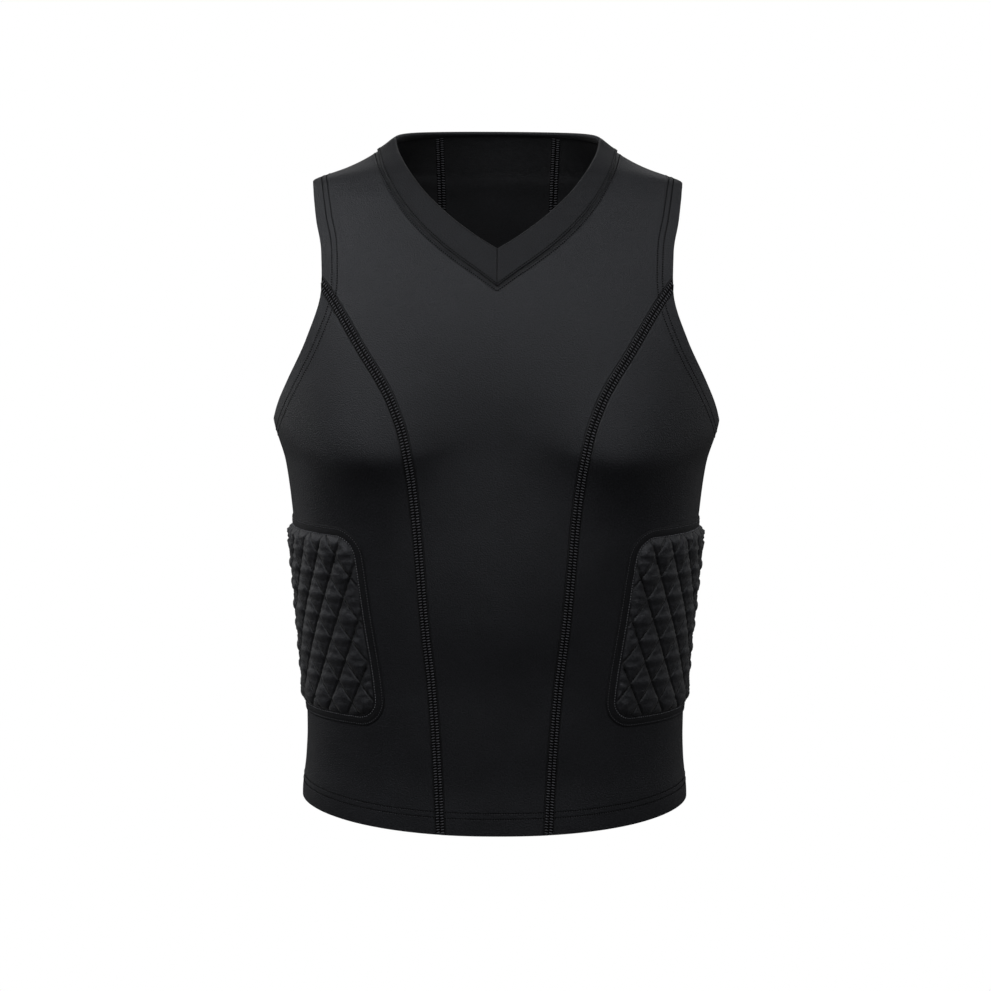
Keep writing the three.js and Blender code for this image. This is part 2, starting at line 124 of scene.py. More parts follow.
# Swellings: the middle, the reach across, up and down, and the rise. A tip sets how sharp the ridge is,
# and a curve lets the ridge climb away from its middle.
CHEST = {"x": 115, "z": -249, "wide": 55, "up": 80, "down": 39, "rise": 20, "tip": 0.17, "curve": 9}
BELLY = {"x": 0, "z": -382, "wide": 72, "up": 80, "down": 55, "rise": 8}
WAIST = {"x": 0, "z": -492, "wide": 85, "up": 55, "down": 50, "rise": 4}
BLADE = {"x": 82, "z": -135, "wide": 48, "up": 55, "down": 75, "rise": 5}
SPINE = {"x": 0, "z": -250, "wide": 26, "up": 150, "down": 190, "rise": -5}
TENT_SLOPE = 1.4
EASE_LENGTH = 75
EASE_HEIGHT = 0.8
print("body:", len(SECTIONS), "sections")


# %% Smooth curves through the measures
def smooth_curve(places, values):
    """A curve through rows of places and values that doesn't overshoot between them."""
    steps = [b - a for a, b in zip(places, places[1:])]
    rises = [(b - a) / step for a, b, step in zip(values, values[1:], steps)]
    slopes = [rises[0]]
    for before, after in zip(rises, rises[1:]):
        product = before * after
        slopes.append(2 * product / (before + after) if product > 0 else 0)
    slopes.append(rises[-1])

    def curve(place):
        at = min(max(place, places[0]), places[-1])
        k = min(bisect_right(places, at) - 1, len(steps) - 1)
        f = (at - places[k]) / steps[k]
        g = 1 - f
        ends = values[k] * g * g * (1 + 2 * f) + values[k + 1] * f * f * (1 + 2 * g)
        return ends + steps[k] * f * g * (slopes[k] * g - slopes[k + 1] * f)

    return curve


def by_first(table, column):
    return smooth_curve([row[0] for row in table], [row[column] for row in table])


def by_row(table, column):
    return smooth_curve(list(range(len(table))), [row[column] for row in table])


def mix(a, b, share):
    return a + (b - a) * share


SOFT_REACH = 16
SOFT_STEPS = 4
section_curves = [by_first(SECTIONS, column) for column in range(1, 5)]


@lru_cache(maxsize=None)
def section(height):
    """Half width, front depth, back depth, squareness and a smoothed half width at a height."""
    exact = [curve(height) for curve in section_curves]
    shifts = [SOFT_REACH * i / SOFT_STEPS for i in range(-SOFT_STEPS, SOFT_STEPS + 1)]
    return exact + [sum(section_curves[0](height + s) for s in shifts) / len(shifts)]


print("half width at the waist:", round(section(-500)[0]), "mm")


# %% The outside of the cloth
SIDE_BAND = 0.4
SIDE_FADE = 0.35
SWELLING_FADE = 2.5
ANGLE_NUDGE = 0.4
HEIGHT_NUDGE = 0.5


def swelling(bump, x, height):
    """How far a soft swelling lifts the cloth at a place."""
    across = (abs(x) - bump["x"]) / bump["wide"]
    middle = bump["z"] + bump.get("curve", 0) * across * across
    along = (height - middle) / (bump["up"] if height > middle else bump["down"])
    fall = along * along
    if "tip" in bump:
        fall = TENT_SLOPE * (math.hypot(along, bump["tip"]) - bump["tip"])
    return bump["rise"] * math.exp(-across * across - fall)


def half_width(angle, height):
    """Half width for a place: exact at the side line, and smoothed away from it."""
    half, *_, soft = section(round(height, 2))
    away = min(1, max(0, abs(math.cos(math.radians(angle))) - SIDE_BAND) / SIDE_FADE)
    return mix(half, soft, away * away * (3 - 2 * away))


def form(angle, height):
    """A place on the outside of the cloth, in millimetres."""
    front, back, square = section(round(height, 2))[1:4]
    half = half_width(angle, height)
    sine, cosine = math.sin(math.radians(angle)), math.cos(math.radians(angle))
    x = math.copysign(half * abs(sine) ** (2 / square), sine)
    reach = abs(cosine) ** (2 / square)
    fade = min(1, SWELLING_FADE * reach)
    if cosine > 0:
        y = -front * reach - fade * sum(swelling(bump, x, height) for bump in (CHEST, BELLY, WAIST))
    else:
        y = back * reach + (swelling(BLADE, x, height) + swelling(SPINE, x, height)) * fade
    ease = EASE_HEIGHT * noise.noise(Vector((x, y, height)) / EASE_LENGTH)
    return Vector((x + ease * sine, y - ease * cosine, height))


def tangents(angle, height):
    """Two small steps along the cloth from a place: round the body, and up."""
    around = form(angle + ANGLE_NUDGE, height) - form(angle - ANGLE_NUDGE, height)
    up = form(angle, height + HEIGHT_NUDGE) - form(angle, height - HEIGHT_NUDGE)
    return around, up


def form_normal(angle, height):
    around, up = tangents(angle, height)
    return around.cross(up).normalized()


def on_cloth(angle, height, lift=0.0):
    """A place at a given lift above the outside of the cloth, in metres."""
    return (form(angle, height) + form_normal(angle, height) * lift) * MM


print("middle of the chest:", [round(v) for v in form(0, -200)])

# %% Places found in steps
ACROSS_START = 60.0
ACROSS_STEPS = 6
NEAREST_STEPS = 10
NEAREST_REACH = 5.0


def angle_across(x, height):
    """The angle on the front at a distance from the middle, found in a few steps."""
    square = section(round(height, 2))[3]
    angle = ACROSS_START
    for _ in range(ACROSS_STEPS):
        share = min(1, abs(x) / half_width(angle, height))
        angle = math.degrees(math.asin(share ** (square / 2)))
    return angle


def nearest_place(point, angle, height):
    """The angle and height of the cloth nearest to a point in millimetres, found from a first guess."""
    for _ in range(NEAREST_STEPS):
        around, up = tangents(angle, height)
        around /= 2 * ANGLE_NUDGE
        up /= 2 * HEIGHT_NUDGE
        away = point - form(angle, height)
        cross = around.dot(up)
        size = around.dot(around) * up.dot(up) - cross * cross
        turn = (around.dot(away) * up.dot(up) - up.dot(away) * cross) / size
        climb = (up.dot(away) * around.dot(around) - around.dot(away) * cross) / size
        angle += min(max(turn, -NEAREST_REACH), NEAREST_REACH)
        height += min(max(climb, -NEAREST_REACH), NEAREST_REACH)
    return angle, height


print("100 mm from the middle of the chest:", round(angle_across(100, -200), 1), "degrees")

# %% [markdown]
# ## Camera, light and floor
#
# The camera comes early so that every later step can be judged in the picture. A product picture like
# this is taken with a long lens, from a little above the middle of the shirt. One strong lamp could
# light it, but cloth this dark shows its form only by soft reflections. So there is a soft box high in
# front, one high on each side with the left one stronger, and a weak one low in front: the upper chest
# is the brightest part, and the waist falls into the dark. Two upright boxes and a high one stand
# behind, so that the edges and the back stay readable. The surroundings and the floor are white to the
# camera and dim to the cloth, so that little light comes up from below.

# %% Camera
LENS = 85.0
SENSOR = 36.0
CAMERA_DISTANCE = 2.05908
CAMERA_ABOVE = math.radians(8)
CAMERA_ROLL = math.radians(0.28)
CAMERA_AIM = Vector((-0.0005, 0.0, -0.29225))
scene = bpy.context.scene


def add_to_scene(name, data):
    made = bpy.data.objects.new(name, data)
    scene.collection.objects.link(made)
    return made


camera = add_to_scene("picture_camera", bpy.data.cameras.new("picture_camera"))
camera.data.lens = LENS
camera.data.sensor_width = SENSOR
towards_camera = Vector((0, -math.cos(CAMERA_ABOVE), math.sin(CAMERA_ABOVE)))
camera.location = CAMERA_AIM + towards_camera * CAMERA_DISTANCE
camera.rotation_mode = "QUATERNION"
level = (-towards_camera).to_track_quat("-Z", "Y")
camera.rotation_quaternion = level @ Matrix.Rotation(CAMERA_ROLL, 3, "Z").to_quaternion()
scene.camera = camera
print("camera at", [round(v, 3) for v in camera.location])

# %% Lamps
LAMP_AIM = Vector((0, 0, -0.25))
LAMPS = [
    {"name": "front_box", "at": (0.0, -2.2, 1.5), "size": (1.2, 0.8), "watts": 10.8},
    {"name": "low_box", "at": (0.0, -2.4, 0.0), "size": (0.6, 0.6), "watts": 1.5},
    {"name": "left_box", "at": (-1.3, -0.9, 1.0), "size": (0.9, 0.9), "watts": 9.2},
    {"name": "right_box", "at": (1.3, -0.9, 1.0), "size": (0.9, 0.9), "watts": 4.6},
    {"name": "rim_left", "at": (-1.5, 0.7, 0.2), "size": (0.8, 1.4), "watts": 4.4},
    {"name": "rim_right", "at": (1.5, 0.7, 0.2), "size": (0.8, 1.4), "watts": 1.6},
    {"name": "back_box", "at": (0.0, 1.4, 1.7), "size": (1.6, 0.9), "watts": 6.0},
]
for lamp in LAMPS:
    light = bpy.data.lights.new(lamp["name"], "AREA")
    light.shape = "RECTANGLE"
    light.size, light.size_y = lamp["size"]
    light.energy = lamp["watts"]
    holder = add_to_scene(lamp["name"], light)
    holder.location = lamp["at"]
    holder.rotation_euler = (LAMP_AIM - Vector(lamp["at"])).to_track_quat("-Z", "Y").to_euler()
print("lamps:", [lamp["name"] for lamp in LAMPS])

# %% White surroundings
SURROUND_LIGHT = 0.14
scene.view_settings.view_transform = "Standard"
scene.view_settings.look = "None"


def add_node(tree, kind, settings=None, inputs=None):
    """A node with its settings and its unlinked inputs filled in."""
    made = tree.nodes.new(kind)
    for name, value in (settings or {}).items():
        setattr(made, name, value)
    for name, value in (inputs or {}).items():
        made.inputs[name].default_value = value
    return made


def show_white(tree, white, dull, output):
    """Shows one shader to the camera, and lets the other one light the shirt."""
    ray = add_node(tree, "ShaderNodeLightPath")
    choose = add_node(tree, "ShaderNodeMixShader")
    tree.links.new(ray.outputs["Is Camera Ray"], choose.inputs[0])
    tree.links.new(dull.outputs[0], choose.inputs[1])
    tree.links.new(white.outputs[0], choose.inputs[2])
    tree.links.new(choose.outputs[0], output.inputs["Surface"])


WHITE = (1, 1, 1, 1)
world = bpy.data.worlds.new("studio")
world.use_nodes = True
scene.world = world
studio = world.node_tree
studio.nodes.clear()
seen_white = add_node(studio, "ShaderNodeBackground", inputs={"Color": WHITE, "Strength": 1.0})
dim_light = add_node(studio, "ShaderNodeBackground", inputs={"Color": WHITE, "Strength": SURROUND_LIGHT})
show_white(studio, seen_white, dim_light, add_node(studio, "ShaderNodeOutputWorld"))
print("surroundings: white to the camera, strength", SURROUND_LIGHT, "to the cloth")

# %% Pale floor, well below the hem
FLOOR_HEIGHT = -0.95
FLOOR_SIZE = 6.0
FLOOR_FACES = 8
FLOOR_GREY = (0.06, 0.06, 0.06, 1)
floor_shape = bmesh.new()
bmesh.ops.create_grid(floor_shape, x_segments=FLOOR_FACES, y_segments=FLOOR_FACES, size=FLOOR_SIZE)
bmesh.ops.translate(floor_shape, verts=floor_shape.verts, vec=(0, 0, FLOOR_HEIGHT))
floor_mesh = bpy.data.meshes.new("floor")
floor_shape.to_mesh(floor_mesh)
floor_shape.free()
floor = add_to_scene("floor", floor_mesh)
floor_paint = bpy.data.materials.new("pale_floor")
floor_paint.use_nodes = True
floor_nodes = floor_paint.node_tree
floor_nodes.nodes.clear()
floor_white = add_node(floor_nodes, "ShaderNodeEmission", inputs={"Color": WHITE, "Strength": 1.0})
floor_dull = add_node(floor_nodes, "ShaderNodeBsdfDiffuse", inputs={"Color": FLOOR_GREY})
show_white(floor_nodes, floor_white, floor_dull, add_node(floor_nodes, "ShaderNodeOutputMaterial"))
floor.data.materials.append(floor_paint)
print("floor at", FLOOR_HEIGHT, "m")

# %% [markdown]
# ## Finishes
#
# The cloth is a smooth black knit: fine upright ribs crossed by finer rows, a little uneven, with a
# soft sheen. An image of knit could be laid on it, but a pattern made from waves stays sharp at any
# distance and needs no file. The pattern is one node group with named inputs, so the panels, the band,
# the pads and the tape can each use it with their own rib width. It reads the cloth's own flat map,
# which is in metres along the cloth.

# %% The knit pattern, as a node group
NOISE_PER_METRE = 820.0
MOTTLE_PER_METRE = 26.0
ROW_LEAN = 1.6
RIB_HEIGHT = 0.28
ROW_HEIGHT = 0.18


def new_group(name, inputs, outputs):
    """A node group with its sockets, its input node and its output node."""
    tree = bpy.data.node_groups.new(name, "ShaderNodeTree")
    for socket, kind, value in inputs:
        made = tree.interface.new_socket(socket, in_out="INPUT", socket_type=kind)
        if value is not None:
            made.default_value = value
    for socket, kind in outputs:
        tree.interface.new_socket(socket, in_out="OUTPUT", socket_type=kind)
    return tree, tree.nodes.new("NodeGroupInput"), tree.nodes.new("NodeGroupOutput")


def sums(tree, operation, first, second=None, third=None):
    """A Math node fed by sockets or plain numbers."""
    made = add_node(tree, "ShaderNodeMath", {"operation": operation})
    for slot, value in enumerate((first, second, third)):
        if value is None:
            continue
        if isinstance(value, (int, float)):
            made.inputs[slot].default_value = value
        else:
            tree.links.new(value, made.inputs[slot])
    return made.outputs[0]


knit, knit_in, knit_out = new_group(
    "knit_pattern",
    [
        ("Cloth", "NodeSocketVector", None),
        ("Rib", "NodeSocketFloat", 0.0009),
        ("Row", "NodeSocketFloat", 0.0007),
    ],
    [("Height", "NodeSocketFloat"), ("Speckle", "NodeSocketFloat"), ("Mottle", "NodeSocketFloat")],
)
flat = add_node(knit, "ShaderNodeSeparateXYZ")
knit.links.new(knit_in.outputs["Cloth"], flat.inputs[0])
turns_across = sums(knit, "DIVIDE", flat.outputs["X"], knit_in.outputs["Rib"])
turns_up = sums(knit, "DIVIDE", flat.outputs["Y"], knit_in.outputs["Row"])
rib = sums(knit, "SINE", sums(knit, "MULTIPLY", turns_across, 2 * math.pi))
lean = sums(knit, "MULTIPLY", sums(knit, "ABSOLUTE", rib), ROW_LEAN)
row = sums(knit, "SINE", sums(knit, "ADD", sums(knit, "MULTIPLY", turns_up, 2 * math.pi), lean))
fine_noise = {"Scale": NOISE_PER_METRE, "Detail": 2.0, "Roughness": 0.6}
wide_noise = {"Scale": MOTTLE_PER_METRE, "Detail": 4.0, "Roughness": 0.55}
grain = add_node(knit, "ShaderNodeTexNoise", inputs=fine_noise)
mottle = add_node(knit, "ShaderNodeTexNoise", inputs=wide_noise)
for texture in (grain, mottle):
    knit.links.new(knit_in.outputs["Cloth"], texture.inputs["Vector"])
ribs_and_rows = sums(knit, "MULTIPLY_ADD", rib, RIB_HEIGHT, sums(knit, "MULTIPLY", row, ROW_HEIGHT))
knit.links.new(ribs_and_rows, knit_out.inputs["Height"])
knit.links.new(sums(knit, "SUBTRACT", grain.outputs[0], 0.5), knit_out.inputs["Speckle"])
knit.links.new(mottle.outputs[0], knit_out.inputs["Mottle"])
print("knit pattern:", len(knit.nodes), "nodes")

# %% [markdown]
# A line of stitching pulls the cloth down into a narrow groove, where shade falls. That could be cut into the
# mesh, but the mesh would need faces under a millimetre wide along every row. Each panel instead
# carries its distance from each of its edges as an attribute, and this group turns a distance into a
# soft line at a given row. The line sinks the bump a little and darkens the colour: the shade in the groove
# is painted.

# %% A stitched line, as a node group
groove, groove_in, groove_out = new_group(
    "stitched_line",
    [
        ("Distance", "NodeSocketFloat", 0.0),
        ("Row", "NodeSocketFloat", 10.0),
        ("Width", "NodeSocketFloat", 1.0),
    ],
    [("Line", "NodeSocketFloat")],
)
from_row = sums(groove, "SUBTRACT", groove_in.outputs["Distance"], groove_in.outputs["Row"])
off_row = sums(groove, "ABSOLUTE", from_row)
falling = {"To Min": 1.0, "To Max": 0.0}
soften = add_node(groove, "ShaderNodeMapRange", {"interpolation_type": "SMOOTHSTEP"}, falling)
groove.links.new(off_row, soften.inputs["Value"])
groove.links.new(groove_in.outputs["Width"], soften.inputs["From Max"])
groove.links.new(soften.outputs[0], groove_out.inputs["Line"])
print("stitched line:", len(groove.nodes), "nodes")

# %% A cloth finish
SPECKLE_SHADE = 3.4
SPECKLE_DEPTH = 0.0005
SPECKLE_ROUGH = 0.5
MOTTLE_SHADE = 0.7
MOTTLE_BASE = 0.65
MOTTLE_ROUGH = 0.12
RIB_SHADE = 0.35
ROW_TO_RIB = 0.8
COOL_GLOSS = (0.92, 0.945, 1.0, 1.0)
CRUMPLES = {"Scale": 95.0, "Detail": 3.0, "Distortion": 0.8}


def cloth_finish(
    name, colour, rough, sheen, rib_mm, grain_depth, grooves=(), groove_depth=0.0005, crumple=0, gloss=0.5
):
    """A knit finish. A groove is an attribute, the distance of its row, its half width and the strength of
    the shade painted into it.
    """
    made = bpy.data.materials.new(name)
    made.use_nodes = True
    tree = made.node_tree
    shader = tree.nodes["Principled BSDF"]
    shader.inputs["Sheen Weight"].default_value = sheen
    shader.inputs["Sheen Roughness"].default_value = 0.45
    shader.inputs["Specular IOR Level"].default_value = gloss
    shader.inputs["Specular Tint"].default_value = COOL_GLOSS
    cloth_map = add_node(tree, "ShaderNodeUVMap", {"uv_map": "weave"})
    widths = {"Rib": rib_mm * MM, "Row": rib_mm * ROW_TO_RIB * MM}
    pattern = add_node(tree, "ShaderNodeGroup", {"node_tree": knit}, widths)
    tree.links.new(cloth_map.outputs[0], pattern.inputs["Cloth"])
    shade = sums(tree, "MULTIPLY_ADD", pattern.outputs["Mottle"], MOTTLE_SHADE, MOTTLE_BASE)
    for output, strength in (("Height", RIB_SHADE), ("Speckle", SPECKLE_SHADE)):
        factor = sums(tree, "MULTIPLY_ADD", pattern.outputs[output], strength, 1.0)
        shade = sums(tree, "MULTIPLY", shade, factor)
    lines = None
    for attribute, row_mm, half_mm, painted_shade in grooves:
        distance = add_node(tree, "ShaderNodeAttribute", {"attribute_name": attribute})
        line = add_node(tree, "ShaderNodeGroup", {"node_tree": groove}, {"Row": row_mm, "Width": half_mm})
        tree.links.new(distance.outputs["Fac"], line.inputs["Distance"])
        painted_shade_line = sums(tree, "MULTIPLY", line.outputs[0], painted_shade)
        lines = painted_shade_line if lines is None else sums(tree, "MAXIMUM", lines, painted_shade_line)
    speckle = sums(tree, "MULTIPLY", pattern.outputs["Speckle"], SPECKLE_DEPTH)
    bump_height = sums(tree, "MULTIPLY_ADD", pattern.outputs["Height"], grain_depth, speckle)
    if crumple:
        folds = add_node(tree, "ShaderNodeTexNoise", inputs=CRUMPLES)
        tree.links.new(cloth_map.outputs[0], folds.inputs["Vector"])
        bump_height = sums(tree, "ADD", bump_height, sums(tree, "MULTIPLY", folds.outputs[0], crumple))
    # Painted shade: the grooves darken the base colour where shade falls in them, and they also sink the
    # bump.
    if lines is not None:
        shade = sums(tree, "MULTIPLY", shade, sums(tree, "SUBTRACT", 1.0, lines))
        bump_height = sums(tree, "SUBTRACT", bump_height, sums(tree, "MULTIPLY", lines, groove_depth))
    paint = add_node(tree, "ShaderNodeVectorMath", {"operation": "SCALE"}, {0: colour})
    tree.links.new(shade, paint.inputs["Scale"])
    tree.links.new(paint.outputs[0], shader.inputs["Base Color"])
    uneven = sums(tree, "MULTIPLY_ADD", pattern.outputs["Mottle"], MOTTLE_ROUGH, rough - MOTTLE_ROUGH / 2)
    uneven = sums(tree, "MULTIPLY_ADD", pattern.outputs["Speckle"], SPECKLE_ROUGH, uneven)
    tree.links.new(uneven, shader.inputs["Roughness"])
    bump = add_node(tree, "ShaderNodeBump", inputs={"Strength": 1.0, "Distance": 1.0})
    tree.links.new(bump_height, bump.inputs["Height"])
    tree.links.new(bump.outputs[0], shader.inputs["Normal"])
    return made


print("cloth finish: grain up to", SPECKLE_DEPTH / MM, "mm deep")

# %% Finishes of the panels, the band, the pads and the tape
HEM_ROWS = (15.0, 20.0)
ARMHOLE_ROWS = (10.0, 15.0)
NECK_ROW = 4.2
BAND_ROW = 1.7
# Columns: attribute, distance of the row from the edge, half width of the groove, strength of the shade
# painted into it
HEM_GROOVES = [
    *[("hem_mm", row_mm, 0.9, 0.4) for row_mm in HEM_ROWS],
    *[("armhole_mm", row_mm, 0.9, 0.4) for row_mm in ARMHOLE_ROWS],
]
PANEL_GROOVES = [
    *HEM_GROOVES,
    ("neck_mm", NECK_ROW, 0.9, 0.5),
    # Painted shadow: a dark band just outside the neck band's sewn ridge, where the ridge shades the panel
    ("neck_mm", 1.2, 2.2, 0.8),
    # Painted shade along each side of a flat seam's strip
    ("seam_mm", 4.4, 1.0, 0.85),
]
# Painted shade in the band's stitch row and in its mitre at the point of the V
BAND_GROOVES = [("edge_mm", BAND_ROW, 0.8, 0.6), ("mitre_mm", 0.0, 0.5, 0.8)]
# Painted shade in the valleys along both sets of quilting lines
QUILT_GROOVES = [("tight_mm", 0.0, 2.4, 0.85), ("loose_mm", 0.0, 1.8, 0.95)]
FINE_KNIT = {"rib_mm": 0.85, "grain_depth": 0.00005}
PAD_KNIT = {"rib_mm": 0.7, "grain_depth": 0.00006, "groove_depth": 0.0007, "crumple": 0.0005}
TAPE_WEAVE = {"rib_mm": 1.1, "grain_depth": 0.00008}
knit_finish = cloth_finish(
    "black_knit", (0.0122, 0.0126, 0.0152), rough=0.45, sheen=0.06, grooves=PANEL_GROOVES, **FINE_KNIT
)
inside_finish = cloth_finish(
    "knit_inside", (0.0138, 0.0141, 0.016), rough=0.65, sheen=0.06, grooves=HEM_GROOVES, **FINE_KNIT
)
band_finish = cloth_finish(
    "band_knit", (0.0098, 0.0101, 0.012), rough=0.5, sheen=0.08, grooves=BAND_GROOVES, gloss=0.36, **FINE_KNIT
)
pad_finish = cloth_finish(
    "pad_knit", (0.0165, 0.017, 0.02), rough=0.48, sheen=0.12, grooves=QUILT_GROOVES, **PAD_KNIT
)
tape_finish = cloth_finish(
    "border_tape", (0.0088, 0.009, 0.0104), rough=0.66, sheen=0.06, gloss=0.25, **TAPE_WEAVE
)
print("cloth finishes:", [m.name for m in (knit_finish, band_finish, pad_finish, tape_finish)])

# %% [markdown]
# Sewing thread is smoother than knit and has no ribs. It could share the knit's finish, but a stitch is
# only a millimetre or two long and has no flat map of its own. So the thread reads its place on the
# shirt, and a fine noise stands for its twist. The stitching of the hems, the neck and the quilting is
# black, and that of the seams and tapes is grey. The black thread is made darker than the cloth, so that
# it also carries the shade of the needle holes along each row: that shade is painted.

# %% Thread finish
THREAD_TWISTS_PER_METRE = 900.0
TWIST_SHADE = 0.9
TWIST_BASE = 0.55
TWIST_ROUGH = 0.2
THREAD_SHEEN = 0.03
THREAD_BUMP = {"Strength": 0.6, "Distance": 0.0002}


def thread_finish(name, colour, rough, gloss=0.4):
    """Sewing thread: a fine noise for its twist, in the piece's own coordinates."""
    made = bpy.data.materials.new(name)
    made.use_nodes = True
    tree = made.node_tree
    shader = tree.nodes["Principled BSDF"]
    shader.inputs["Sheen Weight"].default_value = THREAD_SHEEN
    shader.inputs["Specular IOR Level"].default_value = gloss
    place = add_node(tree, "ShaderNodeTexCoord")
    twist = add_node(tree, "ShaderNodeTexNoise", inputs={"Scale": THREAD_TWISTS_PER_METRE, "Detail": 2.0})
    tree.links.new(place.outputs["Object"], twist.inputs["Vector"])
    paint = add_node(tree, "ShaderNodeVectorMath", {"operation": "SCALE"}, {0: colour})
    shade = sums(tree, "MULTIPLY_ADD", twist.outputs[0], TWIST_SHADE, TWIST_BASE)
    tree.links.new(shade, paint.inputs["Scale"])
    tree.links.new(paint.outputs[0], shader.inputs["Base Color"])
    uneven = sums(tree, "MULTIPLY_ADD", twist.outputs[0], TWIST_ROUGH, rough - TWIST_ROUGH / 2)
    tree.links.new(uneven, shader.inputs["Roughness"])
    bump = add_node(tree, "ShaderNodeBump", inputs=THREAD_BUMP)
    tree.links.new(twist.outputs[0], bump.inputs["Height"])
    tree.links.new(bump.outputs[0], shader.inputs["Normal"])
    return made


# Black thread, darker than the cloth: partly its own colour, partly painted shade of the needle holes
thread = thread_finish("black_thread", (0.0025, 0.0025, 0.0028), 0.7, gloss=0.05)
seam_thread = thread_finish("seam_thread", (0.105, 0.108, 0.122), 0.42)
outer_tape_thread = thread_finish("outer_tape_thread", (0.085, 0.087, 0.098), 0.42)
inner_tape_thread = thread_finish("inner_tape_thread", (0.26, 0.265, 0.29), 0.42)
seam_base = thread_finish("seam_base", (0.003, 0.003, 0.0034), 0.7, gloss=0.1)
print("thread finishes:", [m.name for m in (thread, seam_thread, seam_base)])

# %% [markdown]
# ## Where the seams and edges run
#
# Every edge and seam is a line on the cloth: a list of angles and heights. They could be drawn as curves
# and projected onto the body, but the two numbers of a place already lie on it. The hem dips a little at
# the front and the back, and the armhole is an egg-shaped loop. One shaped seam runs from the hem up into
# each armhole, and two run up the back.

# %% Seams
# Columns: height, distance from the middle
FRONT_SEAM = [
    [-580, 45.7],
    [-490, 50.2],
    [-440, 54.0],
    [-405, 58.0],
    [-385, 60.0],
    [-282, 68.8],
    [-230, 76.9],
    [-198, 88.0],
    [-156, 113.7],
    [-115, 139.6],
    [-103, 149.0],
]
BACK_SEAM = [[-580, 57], [-300, 55], [-60, 50], [32, 52]]
SEAM_END = FRONT_SEAM[-1][0]
front_seam_x = by_first(FRONT_SEAM, 1)
back_seam_x = by_first(BACK_SEAM, 1)


def front_seam_angle(height):
    return angle_across(front_seam_x(height), height)


def back_seam_angle(height):
    return 180 - angle_across(back_seam_x(height), height)


print("front seams end at", SEAM_END, "mm")

# %% Hem and armholes
# Columns: height, angle on the front edge, angle on the back edge
ARMHOLE = [
    [-225, 90.0, 90.0],
    [-223.4, 84.7, 95.3],
    [-218.8, 78.7, 101.3],
    [-210, 72.6, 107.6],
    [-197.5, 66.9, 114.0],
    [-180, 61.0, 120.6],
    [-150, 53.2, 129.5],
    [-112, 48.5, 134.0],
    [-77, 51.2, 131.0],
    [-51, 58.5, 123.0],
    [-34, 67.0, 114.0],
    [-24, 74.5, 106.0],
    [-19.5, 81.5, 98.5],
    [-17.5, 90.0, 90.0],
]
UNDERARM = ARMHOLE[0][0]
SHOULDER_TIP = ARMHOLE[-1][0]
ARMHOLE_LAST = len(ARMHOLE) - 1
HEM_HEIGHT = -560
HEM_DIP = {"front": 12.6, "back": 8, "shape": 1.6}
HALVINGS = 40
armhole_height = by_row(ARMHOLE, 0)
armhole_front = by_row(ARMHOLE, 1)
armhole_back = by_row(ARMHOLE, 2)


def hem_height(angle):
    cosine = math.cos(math.radians(angle))
    dip = HEM_DIP["front"] if cosine > 0 else HEM_DIP["back"]
    return HEM_HEIGHT - dip * abs(cosine) ** HEM_DIP["shape"]


@lru_cache(maxsize=None)
def armhole_row_at(height):
    """The row of the armhole's table that reaches a height, found by halving."""
    low, high = 0.0, float(ARMHOLE_LAST)
    for _ in range(HALVINGS):
        middle = (low + high) / 2
        if armhole_height(middle) < height:
            low = middle
        else:
            high = middle
    return (low + high) / 2


print("armholes: from", UNDERARM, "to", SHOULDER_TIP, "mm")

# %% Neck
# Columns: distance from the middle and height of the inner edge, then of the outer edge
NECK_FRONT = [
    [0, -73.8, 0, -108.2],
    [13.1, -66.1, 17.4, -95.9],
    [25.1, -58.0, 32.4, -85.8],
    [37.1, -49.2, 47.3, -74.9],
    [49.2, -38.8, 61.0, -63.2],
    [61.4, -27.0, 73.2, -50.7],
    [70.6, -15.8, 84.0, -37.4],
    [79.4, -3.1, 93.3, -22.6],
    [85.6, 9.0, 101.6, -6.1],
    [88.0, 18.2, 105.8, 5.4],
]
NECK_BACK = {
    "inner_middle": 24.5,
    "inner_side": 18.2,
    "outer_middle": 2.5,
    "outer_side": 5.4,
    "shape": 0.45,
}
NECK_ROWS = len(NECK_FRONT) - 1
TINY = 1e-6
neck_curves = [by_row(NECK_FRONT, column) for column in range(4)]


def neck_front(row, share):
    """A place across the band: share 0 is its inner edge and 1 its outer edge."""
    x = mix(neck_curves[0](row), neck_curves[2](row), share)
    height = mix(neck_curves[1](row), neck_curves[3](row), share)
    return (90 if row > NECK_ROWS - TINY else angle_across(x, height)), height


def neck_back(angle, share):
    middle = abs(math.cos(math.radians(angle))) ** NECK_BACK["shape"]
    inner = mix(NECK_BACK["inner_side"], NECK_BACK["inner_middle"], middle)
    outer = mix(NECK_BACK["outer_side"], NECK_BACK["outer_middle"], middle)
    return angle, mix(inner, outer, share)


print("point of the neck at", NECK_FRONT[0][1], "mm")


# %% Lines on the cloth
def spread(low, high, count):
    return [mix(low, high, i / count) for i in range(count + 1)]


